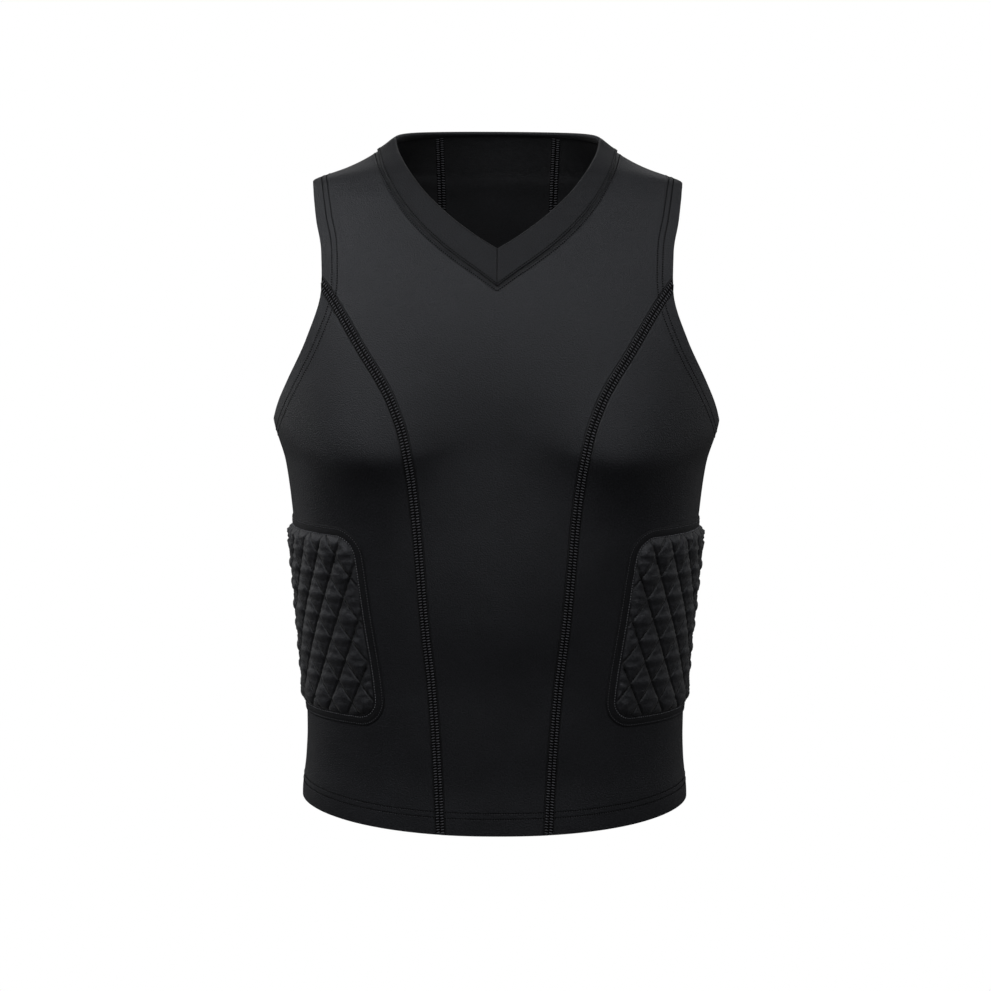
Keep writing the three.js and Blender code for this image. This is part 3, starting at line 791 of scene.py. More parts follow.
HEM_STEPS = 240
ARMHOLE_STEPS = 96
FRONT_SEAM_FOOT = -571
FRONT_SEAM_STEPS = 120
SEAM_PAST_END = 8
PAST_END_STEPS = 4
BACK_SEAM_FOOT = -567
BACK_SEAM_TOP = 20
BACK_SEAM_STEPS = 140
hem_line = [(angle, hem_height(angle)) for angle in spread(0, 360, HEM_STEPS)]
armhole_rows = spread(0, ARMHOLE_LAST, ARMHOLE_STEPS)
armhole_line = [(armhole_front(r), armhole_height(r)) for r in armhole_rows]
armhole_line += [(armhole_back(r), armhole_height(r)) for r in reversed(armhole_rows)]
front_seam_line = [(front_seam_angle(h), h) for h in spread(FRONT_SEAM_FOOT, SEAM_END, FRONT_SEAM_STEPS)]
(below_end, below_end_x), (seam_end, seam_end_x) = FRONT_SEAM[-2:]
past_end_slope = (seam_end_x - below_end_x) / (seam_end - below_end)
for past in spread(0, SEAM_PAST_END, PAST_END_STEPS)[1:]:
    height = SEAM_END + past
    front_seam_line.append((angle_across(seam_end_x + past * past_end_slope, height), height))
back_seam_line = [(back_seam_angle(h), h) for h in spread(BACK_SEAM_FOOT, BACK_SEAM_TOP, BACK_SEAM_STEPS)]


def both_sides(line):
    return [line, [(-angle, height) for angle, height in line]]


print("lines on the cloth:", len(hem_line), len(armhole_line), len(front_seam_line), "places")

# %% Loops round the neck
BAND_INSET = 4.3
NECK_FRONT_STEPS = 90
NECK_BACK_STEPS = 45


def band_share(inner, outer, distance):
    """The share across the neck at some distance beyond the band's sewn edge."""
    return 1 + (distance - BAND_INSET) / (form(*outer) - form(*inner)).length


def neck_line(distance):
    """A loop round the neck at some distance outside the band's sewn edge."""
    ways = [(neck_front, row) for row in spread(0, NECK_ROWS, NECK_FRONT_STEPS)]
    ways += [(neck_back, angle) for angle in spread(90, 180, NECK_BACK_STEPS)[1:]]
    half = [way(at, band_share(way(at, 0), way(at, 1), distance)) for way, at in ways]
    return half + [(-angle, height) for angle, height in reversed(half[1:-1])] + half[:1]


print("sewn edge of the neck band:", len(neck_line(0.0)), "places")

# %% [markdown]
# ## Panels
#
# The shirt is cut from four pieces: the front, two side pieces that run from the front seam round under
# the arm to the back seam, and the back. Each could be unwrapped from a body scan. Here each starts as
# a flat grid with as many faces as a few millimetres of cloth need, and every grid point is moved to
# its angle and height on the body. The flat map for the weave is kept with it: the distance round the
# body and the height, in metres. A Solidify modifier gives the cloth its thickness, nearly double at the
# turned hems, and a small Bevel rounds the folded edges.

# %% Distance along the cloth, round the body
ARC_STEP = 2
HEIGHT_STEP = 4


def distances_along(points):
    """Distances walked from the first of some points to each of them."""
    walked = [0.0]
    for a, b in zip(points, points[1:]):
        walked.append(walked[-1] + (b - a).length)
    return walked


@lru_cache(maxsize=None)
def arc_table(height):
    """Distances from the middle of the front to each angle at one height, in millimetres."""
    return distances_along([form(angle, height) for angle in range(0, 181, ARC_STEP)])


def arc_at(angle, height):
    """Distance round the body from the middle of the front, between the tables above and below."""
    below = HEIGHT_STEP * math.floor(height / HEIGHT_STEP)
    turn = abs(angle) if abs(angle) <= 180 else 360 - abs(angle)
    distances = []
    for table in (arc_table(below), arc_table(below + HEIGHT_STEP)):
        k = min(int(turn / ARC_STEP), len(table) - 2)
        walked = mix(table[k], table[k + 1], turn / ARC_STEP - k)
        distances.append(2 * table[-1] - walked if abs(angle) > 180 else walked)
    return math.copysign(mix(*distances, (height - below) / HEIGHT_STEP), angle)


print("round the waist:", round(2 * arc_at(180, -500)), "mm")

# %% Panels from flat grids
LINE_JUMP = 0.02


def tree_of(lines):
    """A search tree of places along some lines on the cloth, about a millimetre apart."""
    places = [on_cloth(angle, height) for line in lines for angle, height in line]
    fine = []
    for a, b in zip(places, places[1:]):
        gap = (b - a).length
        count = max(1, int(gap / MM)) if gap < LINE_JUMP else 1
        fine += [a.lerp(b, i / count) for i in range(count)]
    fine.append(places[-1])
    tree = kdtree.KDTree(len(fine))
    for i, point in enumerate(fine):
        tree.insert(point, i)
    tree.balance()
    return tree


edge_trees = {
    "hem_mm": tree_of([hem_line]),
    "armhole_mm": tree_of(both_sides(armhole_line)),
    "seam_mm": tree_of(both_sides(front_seam_line) + both_sides(back_seam_line)),
    "neck_mm": tree_of([neck_line(0.0)]),
}


def lay_flat(bm, weave, spots):
    """Writes each point's flat place, in metres, into the map of the weave."""
    for face in bm.faces:
        for loop in face.loops:
            loop[weave].uv = spots[loop.vert]


def bent_grid(columns, rows, place, mirrored=False):
    """A flat grid bent onto the body. place(share, up) gives an angle and a height."""
    bm = bmesh.new()
    bmesh.ops.create_grid(bm, x_segments=columns, y_segments=rows, size=0.5)
    weave = bm.loops.layers.uv.new("weave")
    spots = {}
    for vert in bm.verts:
        angle, height = place(vert.co.x + 0.5, vert.co.y + 0.5)
        angle = -angle if mirrored else angle
        spots[vert] = (arc_at(angle, height) * MM, height * MM)
        vert.co = form(angle, height) * MM
    lay_flat(bm, weave, spots)
    if mirrored:
        bmesh.ops.reverse_faces(bm, faces=bm.faces)
    return bm


print("edges that panels measure from:", list(edge_trees))


# %% Finishing a piece
HEM_WALL = 2.2
CLOTH_WALL = 1.2
HEM_DEPTH = 21.0
ARMHOLE_DEPTH = 17.0
FAR_MM = 60.0
EDGE_ANGLE = math.radians(50)
EDGE_WIDTH = 0.45
EDGE_SEGMENTS = 2


def smooth_mesh(bm, name):
    """A mesh with smooth shading, from a bmesh that is then freed."""
    for face in bm.faces:
        face.smooth = True
    mesh = bpy.data.meshes.new(name)
    bm.to_mesh(mesh)
    bm.free()
    return mesh


def new_piece(name, mesh, finish, stands_for=()):
    """An object that moves with the shirt's only body and stands for its solid nodes."""
    piece = add_to_scene(name, mesh)
    piece.data.materials.append(finish)
    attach(piece, "root")
    if stands_for:
        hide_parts(*stands_for)
    return piece


def round_edges(piece):
    edge = piece.modifiers.new("rounded_edges", "BEVEL")
    edge.limit_method = "ANGLE"
    edge.angle_limit = EDGE_ANGLE
    edge.width = EDGE_WIDTH * MM
    edge.segments = EDGE_SEGMENTS
    edge.harden_normals = True


def panel(name, bm, nodes):
    """A finished panel: distances to its edges, thickness with turned hems, rounded edges."""
    for attribute, tree in edge_trees.items():
        layer = bm.verts.layers.float.new(attribute)
        for vert in bm.verts:
            vert[layer] = min(tree.find(vert.co)[2] / MM, FAR_MM)
    hem, armhole = bm.verts.layers.float["hem_mm"], bm.verts.layers.float["armhole_mm"]
    doubled = [v[hem] < HEM_DEPTH or v[armhole] < ARMHOLE_DEPTH for v in bm.verts]
    area = sum(face.calc_area() for face in bm.faces)
    piece = new_piece(name, smooth_mesh(bm, name), knit_finish, nodes)
    wall = piece.vertex_groups.new(name="wall")
    for i, turned in enumerate(doubled):
        wall.add([i], 1.0 if turned else CLOTH_WALL / HEM_WALL, "REPLACE")
    thick = piece.modifiers.new("cloth_thickness", "SOLIDIFY")
    thick.thickness = HEM_WALL * MM
    thick.offset = -1.0
    thick.vertex_group = "wall"
    thick.material_offset = 1
    piece.data.materials.append(inside_finish)
    round_edges(piece)
    print(name, "- worn area", round(area, 4), "square metres")
    return piece


print("cloth:", CLOTH_WALL, "mm thick, and", HEM_WALL, "mm at the turned hems")

# %% Front panel
FRONT_COLUMNS = 104
FRONT_LINES = 184
TIP_LINES = 20
TIP_CLOSER = 0.7
TIP_SHARPNESS = 12
PANEL_UNDER_BAND = 0.06


def front_edge_angle(height):
    if height <= SEAM_END:
        return front_seam_angle(height)
    if height <= SHOULDER_TIP:
        return armhole_front(armhole_row_at(round(height, 3)))
    return 90


outer_foot = hem_height(front_edge_angle(HEM_HEIGHT))
outer_top = neck_front(NECK_ROWS, PANEL_UNDER_BAND)[1]
tip_up = (SHOULDER_TIP - outer_foot) / (outer_top - outer_foot)
tip_at = 1 - TIP_LINES / FRONT_LINES


def front_place(across, along):
    """One grid line falls on the shoulder tip, so that the panel keeps its corner there."""
    below = min(1, along / tip_at)
    up = tip_up * (1 - (1 - below) * (1 - TIP_CLOSER * below ** TIP_SHARPNESS))
    if along > tip_at:
        up = mix(tip_up, 1, (along - tip_at) / (1 - tip_at))
    side = 2 * across - 1
    share = abs(side)
    top_angle, top_height = neck_front(share * NECK_ROWS, PANEL_UNDER_BAND)
    top_share = top_angle / front_edge_angle(top_height)
    foot = hem_height(share * front_edge_angle(HEM_HEIGHT))
    height = mix(foot, top_height, up)
    turn = 1 if share > 1 - TINY else mix(share, top_share, up * up)
    return math.copysign(turn * front_edge_angle(height), side), height


front_cloth = panel("front_cloth", bent_grid(FRONT_COLUMNS, FRONT_LINES, front_place), ["front_panel"])

# %% Side pieces, each joined from a front part and a back part along the side line
SIDE_LINES = 84
ARM_LINES = 68
ARM_CLOSER = 0.75
SIDE_FRONT_COLUMNS = 44
SIDE_BACK_COLUMNS = 52
ROW_SLACK = 1e-4
MERGE_WITHIN = 0.00002


def side_front_place(share, up):
    edge_row = armhole_row_at(SEAM_END) * (1 - share)
    top_angle, top_height = armhole_front(edge_row), armhole_height(edge_row)
    top_seam = front_seam_angle(top_height)
    top_share = (top_angle - top_seam) / (90 - top_seam)
    foot = hem_height(mix(front_seam_angle(HEM_HEIGHT), 90, share))
    height = mix(foot, top_height, up)
    at_end = share < TINY or share > 1 - TINY
    turn = share if at_end else mix(share, min(1, max(0, top_share)), up ** 3)
    return mix(front_seam_angle(height), 90, turn), height


def back_edge_angle(height):
    if UNDERARM + TINY < height <= SHOULDER_TIP:
        return armhole_back(armhole_row_at(round(height, 3)))
    return 90


edge_heights = [HEM_HEIGHT, UNDERARM, SHOULDER_TIP, neck_back(90, PANEL_UNDER_BAND)[1]]
edge_rows = [0, SIDE_LINES, SIDE_LINES + ARM_LINES, SIDE_LINES + ARM_LINES + TIP_LINES]


def side_back_place(share, along):
    """Grid lines fall on the underarm and on the shoulder tip, where the edge turns."""
    row = along * edge_rows[-1]
    k = min(bisect_right(edge_rows, row + ROW_SLACK) - 1, len(edge_rows) - 2)
    part = (row - edge_rows[k]) / (edge_rows[k + 1] - edge_rows[k])
    edge_height = mix(edge_heights[k], edge_heights[k + 1], part)
    if k == 1:
        edge_height = mix(edge_height, armhole_height(part * ARMHOLE_LAST), ARM_CLOSER)
    up = (edge_height - edge_heights[0]) / (edge_heights[-1] - edge_heights[0])
    top_height = neck_back(mix(90, back_seam_angle(BACK_SEAM_TOP), share), PANEL_UNDER_BAND)[1]
    foot = hem_height(mix(90, back_seam_angle(HEM_HEIGHT), share))
    height = mix(foot, top_height, up)
    return mix(back_edge_angle(height), back_seam_angle(height), share), height


def side_piece(name, mirrored):
    side = bent_grid(SIDE_FRONT_COLUMNS, SIDE_LINES, side_front_place, mirrored)
    behind = bent_grid(SIDE_BACK_COLUMNS, edge_rows[-1], side_back_place, mirrored)
    joined = smooth_mesh(behind, "behind")
    side.from_mesh(joined)
    bpy.data.meshes.remove(joined)
    bmesh.ops.remove_doubles(side, verts=side.verts, dist=MERGE_WITHIN)
    hand = name.split("_")[-1]
    return panel(name, side, [f"side_front_{hand}", f"side_back_{hand}"])


side_cloth_left = side_piece("side_cloth_left", False)
side_cloth_right = side_piece("side_cloth_right", True)

# %% Back panel
BACK_COLUMNS = 34
BACK_LINES = 146


def back_place(share, up):
    def turned(height):
        seam = back_seam_angle(height)
        return mix(seam, 360 - seam, share)

    top_height = neck_back(turned(BACK_SEAM_TOP), PANEL_UNDER_BAND)[1]
    height = mix(hem_height(turned(HEM_HEIGHT)), top_height, up)
    return turned(height), height


back_cloth = panel("back_cloth", bent_grid(BACK_COLUMNS, BACK_LINES, back_place), ["back_panel"])

# %% [markdown]
# ## Neck band
#
# The V neck is edged with a folded strip. Its fold is the neck edge, its outer layer lies on the panels
# and ends in a small ridge where it is sewn down, and its inner layer is turned in behind them. At the
# point of the V the two ends meet in a mitre. A curve with a bevel object could make it, but the strip
# has to follow the body closely, so it is a grid again: one line of points across the strip, carried
# round the neck in small steps.

# %% Folded strip round the neck
BAND_CLOTH = 0.75
BAND_OUTER_LIFT = 1.1
BAND_INNER_LIFT = -1.85
BAND_RIDGE = 0.45
INNER_DEPTH = {"front": 16.0, "back": 0.3}
FOLD_STEPS = 5
OUTER_STEPS = 12
INNER_STEPS = 4
RIDGE_START = 0.8
RIDGE_REACH = 5
# Columns: distance past the sewn edge, and lift above the outer layer
BAND_LIP = [(-0.2, 0.35), (0.0, -0.35), (-0.6, -0.55)]
MITRE_DEPTH = 0.45
MITRE_ROWS = [0, 0.02, 0.06]
MITRE_END = 0.12
BAND_FRONT_STEPS = 88
BAND_BACK_STEPS = 44


def band_profile(inner_depth, width):
    """Points across the strip, from behind the neck edge to its sewn edge: distance, and lift."""
    radius = (BAND_OUTER_LIFT - BAND_INNER_LIFT) / 2
    middle = (BAND_OUTER_LIFT + BAND_INNER_LIFT) / 2
    points = [(d, BAND_INNER_LIFT) for d in spread(inner_depth + radius, radius, INNER_STEPS)[:-1]]
    for turn in spread(-90, 90, FOLD_STEPS * 2):
        t = math.radians(turn)
        points.append((radius - radius * math.cos(t), middle + radius * math.sin(t)))
    for d in spread(radius, width - RIDGE_START, OUTER_STEPS)[1:]:
        near_edge = max(0, 1 - (width - d) / RIDGE_REACH)
        points.append((d, BAND_OUTER_LIFT + BAND_RIDGE * near_edge ** 2))
    return points + [(width + past, BAND_OUTER_LIFT + rise) for past, rise in BAND_LIP]


front_stations = [("front", row) for row in MITRE_ROWS + spread(MITRE_END, NECK_ROWS, BAND_FRONT_STEPS)]
back_stations = [("back", angle) for angle in spread(90, 180, BAND_BACK_STEPS)[1:]]
half_loop = [(kind, at, 1) for kind, at in front_stations + back_stations]
band_loop = half_loop + [(kind, at, -1) for kind, at, _ in reversed(half_loop[:-1])]


def neck_place(station, share):
    kind, at, side = station
    angle, height = neck_front(at, share) if kind == "front" else neck_back(at, share)
    return angle * side, height


def band_points(station):
    """One line across the strip: points in metres, then their distances from both edges."""
    kind, at = station[:2]
    edge, outer = form(*neck_place(station, 0)), form(*neck_place(station, 1))
    whole = (outer - edge).length
    width = whole - BAND_INSET
    behind = 0 if kind == "front" else abs(math.cos(math.radians(at)))
    dip = MITRE_DEPTH * max(0, 1 - at / MITRE_ROWS[-1]) if kind == "front" else 0
    inner_depth = mix(INNER_DEPTH["front"], INNER_DEPTH["back"], math.sqrt(behind))
    line = []
    for distance, lift in band_profile(inner_depth, width):
        lowered = lift - dip if lift > 0 else lift
        point = on_cloth(*neck_place(station, distance / whole), lowered)
        line.append((point, width - distance, distance))
    return line


band_lines = [band_points(station) for station in band_loop]
across_count = len(band_lines[0]) - 1
around_count = len(band_lines) - 1
print("band:", around_count, "steps round the neck and", across_count, "across")

# %% The band's mesh
OUTER_POINT = -5
SEAL_WITHIN = 0.000002
band = bmesh.new()
bmesh.ops.create_grid(band, x_segments=around_count, y_segments=across_count, size=0.5)
edge_mm = band.verts.layers.float.new("edge_mm")
mitre_mm = band.verts.layers.float.new("mitre_mm")
band_weave = band.loops.layers.uv.new("weave")
band_spots = {}
around_m = distances_along([line[OUTER_POINT][0] for line in band_lines])
for vert in band.verts:
    m = round((vert.co.x + 0.5) * around_count)
    k = round((vert.co.y + 0.5) * across_count)
    point, from_edge, along = band_lines[m][k]
    vert.co = point
    vert[edge_mm] = from_edge if k > INNER_STEPS + FOLD_STEPS else FAR_MM
    vert[mitre_mm] = min(abs(point.x) / MM, FAR_MM) if point.y < 0 else FAR_MM
    band_spots[vert] = (around_m[m], -along * MM)
lay_flat(band, band_weave, band_spots)
bmesh.ops.remove_doubles(band, verts=band.verts, dist=SEAL_WITHIN)
bmesh.ops.reverse_faces(band, faces=band.faces)
band_area = sum(face.calc_area() for face in band.faces)
band_mesh = smooth_mesh(band, "neck_band_cloth")
neck_band_cloth = new_piece("neck_band_cloth", band_mesh, band_finish, ["neck_band"])
band_wall = neck_band_cloth.modifiers.new("cloth_thickness", "SOLIDIFY")
band_wall.thickness = BAND_CLOTH * MM
band_wall.offset = 0.0
print("neck_band_cloth - area", round(band_area, 4), "square metres, length", round(around_m[-1], 3), "m")

# %% [markdown]
# ## Thread
#
# A row of stitching is hundreds of short lengths of thread, each going down into the cloth at both
# ends. One could be modelled and repeated by an Array and a Curve modifier, but the curve wouldn't keep
# each stitch lying on the cloth. Here each stitch is a small stretched sphere of a few faces, set down
# along a line on the cloth with its own direction, and sunk by half so that only its back shows.

# %% Walking along a line
STITCH = {"pitch": 2.15, "long": 1.3, "wide": 1.3, "high": 0.6}
SHORTEST = 1e-9


def walk(line, pitch_mm, lift=0.0, closed=False):
    """Evenly spaced places along a line on the cloth: position, direction along, direction out."""
    points = [on_cloth(angle, height, lift) for angle, height in line]
    outs = [form_normal(angle, height) for angle, height in line]
    return stations_along(points, outs, pitch_mm, closed)


def stations_along(points, outs, pitch_mm, closed=False):
    if closed:
        points, outs = points + points[:1], outs + outs[:1]
    walked = distances_along(points)
    count = max(1, round(walked[-1] / (pitch_mm * MM)))
    stations = []
    for n in range(count):
        distance = (n + 0.5) * walked[-1] / count
        k = min(bisect_right(walked, distance) - 1, len(points) - 2)
        share = (distance - walked[k]) / max(walked[k + 1] - walked[k], SHORTEST)
        along = (points[k + 1] - points[k]).normalized()
        out = outs[k].lerp(outs[k + 1], share).normalized()
        stations.append((points[k].lerp(points[k + 1], share), along, out))
    return stations


def moved_line(line, distance_mm, closed=False):
    """A line moved sideways over the cloth, to the left of its direction as seen from outside."""
    places = [form(angle, height) for angle, height in line]
    moved = []
    for i, (angle, height) in enumerate(line):
        before = places[i - 1] if closed or i else places[0]
        after = places[(i + 1) % len(places)] if closed else places[min(i + 1, len(places) - 1)]
        sideways = form_normal(angle, height).cross(after - before).normalized()
        moved.append(nearest_place(places[i] + sideways * distance_mm, angle, height))
    return moved


print("armhole:", len(walk(armhole_line, STITCH["pitch"], closed=True)), "stitches to a row")

# %% Stitches
STITCH_BATCH = 40


def stitches(stations, size, swing=0.0, sides=6, rings=4):
    """A mesh of stitches. Swing turns each one away from the line's own direction, in degrees."""
    wide, high, long = size["wide"], size["high"], size["long"]
    whole = bmesh.new()
    for start in range(0, len(stations), STITCH_BATCH):
        batch = bmesh.new()
        for position, along, out in stations[start:start + STITCH_BATCH]:
            direction = Matrix.Rotation(math.radians(swing), 3, out) @ along
            across = out.cross(direction).normalized()
            lying = Matrix((across * wide, out * high, direction * long)).transposed() * (MM / 2)
            lying = Matrix.Translation(position) @ lying.to_4x4()
            bmesh.ops.create_uvsphere(batch, u_segments=sides, v_segments=rings, radius=1.0, matrix=lying)
        bmesh.ops.recalc_face_normals(batch, faces=batch.faces)
        part = smooth_mesh(batch, "batch")
        whole.from_mesh(part)
        bpy.data.meshes.remove(part)
    return whole


def joined_mesh(name, parts):
    """One smooth mesh from several bmeshes."""
    whole = bmesh.new()
    for part in parts:
        mesh = smooth_mesh(part, "part")
        whole.from_mesh(mesh)
        bpy.data.meshes.remove(mesh)
    return smooth_mesh(whole, name)


def thread_piece(name, parts, finish=thread):
    piece = new_piece(name, joined_mesh(name, parts), finish)
    print(name, "-", len(piece.data.polygons), "faces")


print("stitches:", STITCH["long"], "mm long, one every", STITCH["pitch"], "mm")

# %% Hem and armhole stitching
STITCH_LIFT = 0.05
THREAD_LIFT = 0.1
HEM_LIFTS = (STITCH_LIFT, -(HEM_WALL + THREAD_LIFT))


def hem_stitches(line):
    """A closed row of stitches, on the outside of a turned hem and on its inside."""
    return [stitches(walk(line, STITCH["pitch"], lift, True), STITCH) for lift in HEM_LIFTS]


hem_parts = []
for row_mm in HEM_ROWS:
    row_line = [(angle, height + row_mm) for angle, height in hem_line[:-1]]
    hem_parts += hem_stitches(row_line)
thread_piece("hem_thread", hem_parts)
for hand, line in zip(("left", "right"), both_sides(armhole_line)):
    inwards = 1 if hand == "left" else -1
    arm_parts = []
    for row_mm in ARMHOLE_ROWS:
        arm_parts += hem_stitches(moved_line(line, inwards * row_mm, True))
    thread_piece(f"armhole_thread_{hand}", arm_parts)

# %% [markdown]
# ## Flat seams
#
# The shaped seams are flat seams: the two cloth edges butt together, and a machine covers them with two
# close rows of thread that lie across the join like the rungs of a ladder. The same covering shows on
# the inside. The base is a narrow dark strip, and the rungs are stitches turned a quarter across the
# line.

# %% Strips and rungs
SEAM = {"half": 3.8, "row": 1.95, "base": 0.14, "step": 3.0}
RUNG = {"pitch": 2.45, "long": 3.3, "wide": 0.95, "high": 0.8}
RUNG_LEAN = 12
CUT_STEP = 0.2
# Columns: share of the half width, and share of the base's height
SEAM_PROFILE = [
    (-1.0, -0.05),
    (-0.9, 0.5),
    (-0.45, 1.0),
    (-0.06, 0.5),
    (0.06, 0.5),
    (0.45, 1.0),
    (0.9, 0.5),
    (1.0, -0.05),
]


def strip(stations, half_mm, profile, lift_mm, sign=1):
    """A strip of cloth along a walked line, with its height across given by a profile."""
    bm = bmesh.new()
    rows, columns = len(stations) - 1, len(profile) - 1
    bmesh.ops.create_grid(bm, x_segments=columns, y_segments=rows, size=0.5)
    for vert in bm.verts:
        position, along, out = stations[round((vert.co.y + 0.5) * rows)]
        share, rise = profile[round((vert.co.x + 0.5) * columns)]
        across = along.cross(out).normalized()
        vert.co = position + (across * share * half_mm + out * sign * rise * lift_mm) * MM
    if sign < 0:
        bmesh.ops.reverse_faces(bm, faces=bm.faces)
    return bm


def armhole_cut(side):
    """A place on the armhole edge where the front seam meets it, and the way out of the cloth there."""
    row = armhole_row_at(SEAM_END)
    near = (row - CUT_STEP, row, row + CUT_STEP)
    spots = [(side * armhole_front(r), armhole_height(r)) for r in near]
    along_edge = form(*spots[2]) - form(*spots[0])
    outwards = along_edge.cross(form_normal(*spots[1])).normalized()
    return on_cloth(*spots[1]), outwards * (1 if outwards.x * side > 0 else -1)


def flat_seam(name, line, lift, sign, side, cut=None):
    """A base strip and two rows of rungs. A cut trims them along the armhole edge."""
    base = strip(walk(line, SEAM["step"], lift), SEAM["half"], SEAM_PROFILE, SEAM["base"], sign)
    if cut:
        whole = base.verts[:] + base.edges[:] + base.faces[:]
        bmesh.ops.bisect_plane(base, geom=whole, plane_co=cut[0], plane_no=cut[1], clear_outer=True)
    new_piece(f"{name}_base", smooth_mesh(base, f"{name}_base"), seam_base)
    rungs = []
    for row_mm in (-SEAM["row"], SEAM["row"]):
        shifted = []
        for position, along, out in walk(line, RUNG["pitch"], lift + sign * SEAM["base"]):
            shifted.append((position + along.cross(out).normalized() * row_mm * MM, along, out))
        if cut:
            shifted = [s for s in shifted if (s[0] - cut[0]).dot(cut[1]) < -RUNG["wide"] * MM]
        rungs.append(stitches(shifted, RUNG, 90 - side * RUNG_LEAN))
    thread_piece(f"{name}_rungs", rungs, seam_thread)


CLOTH_INSIDE_LIFT = -CLOTH_WALL - THREAD_LIFT
sides = zip(("left", "right"), (1, -1), both_sides(front_seam_line), both_sides(back_seam_line))
for hand, side, front_line, back_line in sides:
    cut = armhole_cut(side)
    for layer, lift, sign in (("", THREAD_LIFT, 1), ("inside_", CLOTH_INSIDE_LIFT, -1)):
        flat_seam(f"front_seam_{layer}{hand}", front_line, lift, sign, side, cut)
        flat_seam(f"back_seam_{layer}{hand}", back_line, lift, sign, side)

# %% Stitching along the neck band
NECK_STITCH_LIFT = BAND_OUTER_LIFT + BAND_CLOTH / 2 + THREAD_LIFT


def neck_row(from_edge_mm, lift):
    places = []
    outs = []
    for station in band_loop[:-1]:
        share = band_share(neck_place(station, 0), neck_place(station, 1), from_edge_mm)
        place = neck_place(station, share)
        places.append(on_cloth(*place, lift))
        outs.append(form_normal(*place))
    return stitches(stations_along(places, outs, STITCH["pitch"], True), STITCH)


neck_parts = [neck_row(-BAND_ROW, NECK_STITCH_LIFT), neck_row(NECK_ROW, STITCH_LIFT)]
thread_piece("neck_thread", neck_parts)

# %% [markdown]
# ## Quilted pads
#
# Each pad is a sheet of foam between two layers of knit, stitched through in slanting lines that make
# long diamonds. The stitches pull the foam flat along the lines, and it swells between them. The
# swelling could be drawn with a formula, but real quilting has little tucks and uneven folds, so the
# top layer is blown up as cloth. It is cut as a flat grid whose diagonals fall exactly on the stitch
# lines, pinned there and round its edge, made a little too large, and pressed outwards. The pressed
# sheet is then wrapped round the side of the waist.

# %% Pad measures
PAD = {"top": -308, "bottom": -481.5, "half_top": 118.5, "half_bottom": 124, "corner": 25}
BORDER_WIDTH = 9.6
QUILT = {"across": 10.4, "up": 18.4, "row_at": -386.7, "flare": 0.0008, "low": 4.0}
TUCKED_UNDER = 2.0
OUTLINE_STEP = 4
CORNER_STEPS = 10


def pad_outline(inset):
    """The pad's flat outline at some inset: distance forward from the side line, and height."""
    lean = math.atan2(PAD["half_bottom"] - PAD["half_top"], PAD["top"] - PAD["bottom"])
    radius = PAD["corner"] - inset

    def reach(v):
        share = (v - PAD["bottom"]) / (PAD["top"] - PAD["bottom"])
        return mix(PAD["half_bottom"], PAD["half_top"], share) - PAD["corner"] / math.cos(lean)

    low, high = PAD["bottom"] + PAD["corner"], PAD["top"] - PAD["corner"]
    slant = math.degrees(lean)
    corners = [
        (reach(low), low, -90, slant),
        (reach(high), high, slant, 90),
        (-reach(high), high, 90, 180 - slant),
        (-reach(low), low, 180 - slant, 270),
    ]
    arcs = []
    for u, v, start, end in corners:
        turns = [math.radians(t) for t in spread(start, end, CORNER_STEPS)]
        arcs.append([Vector((u + radius * math.cos(t), v + radius * math.sin(t))) for t in turns])
    outline = []
    for arc, following in zip(arcs, arcs[1:] + arcs[:1]):
        count = max(2, round((following[0] - arc[-1]).length / OUTLINE_STEP))
        outline += arc + [arc[-1].lerp(following[0], i / count) for i in range(1, count)]
    return outline


def inside_by(outline, point):
    """How far a place is inside a rounded outline, and the way inwards at the nearest edge."""
    best = None
    for a, b in zip(outline, outline[1:] + outline[:1]):
        along = (b - a).normalized()
        inwards = Vector((-along.y, along.x))
        distance = (point - a).dot(inwards)
        if best is None or distance < best[0]:
            best = (distance, inwards)
    return best


def flared(u, v):
    return u * (1 + QUILT["flare"] * (QUILT["row_at"] - v))


def quilt_numbers(u, v):
    """Running numbers of a flat place across both sets of stitch lines. Whole numbers are on a line."""
    across = u / QUILT["across"] - 0.5
    up = (v - QUILT["row_at"]) / QUILT["up"]
    return (across + up) / 2, (across - up) / 2


pad_edge = pad_outline(BORDER_WIDTH - TUCKED_UNDER)
print("pad outline:", len(pad_edge), "places")

# %% [markdown]
# The two sets of lines differ: one set is pulled tight to the bottom, and the other rides over the
# swelling in a shallow crease. So the flat sheet starts with a low arch between the tight lines, and
# both sets are pinned on it.

# %% The flat sheet, cut and marked
ARCH_HEIGHT = 0.9
ARCH_ROUND = 0.6
BORDER_RISE = 9.0
GRID_PER_STEP = 8
SHEET_COLUMNS = (-14, 13)
SHEET_ROWS = (-6, 5)
TRIM_BEYOND = 0.7
ON_LINE = 0.02


def arch(q, distance):
    """Height of the low arch between two tight lines, running down to the border."""
    low_edge = min(1, max(0, distance / BORDER_RISE))
    return ARCH_HEIGHT * abs(math.sin(math.pi * q)) ** ARCH_ROUND * low_edge


sheet = bmesh.new()
columns = (SHEET_COLUMNS[1] - SHEET_COLUMNS[0]) * GRID_PER_STEP
rows = (SHEET_ROWS[1] - SHEET_ROWS[0]) * GRID_PER_STEP
bmesh.ops.create_grid(sheet, x_segments=columns, y_segments=rows, size=0.5)
for vert in sheet.verts:
    across = mix(*SHEET_COLUMNS, vert.co.x + 0.5) + 0.5
    up = mix(*SHEET_ROWS, vert.co.y + 0.5)
    vert.co = (across * QUILT["across"], QUILT["row_at"] + up * QUILT["up"], 0)


def pad_inside(vert):
    return inside_by(pad_edge, Vector((flared(vert.co.x, vert.co.y), vert.co.y)))


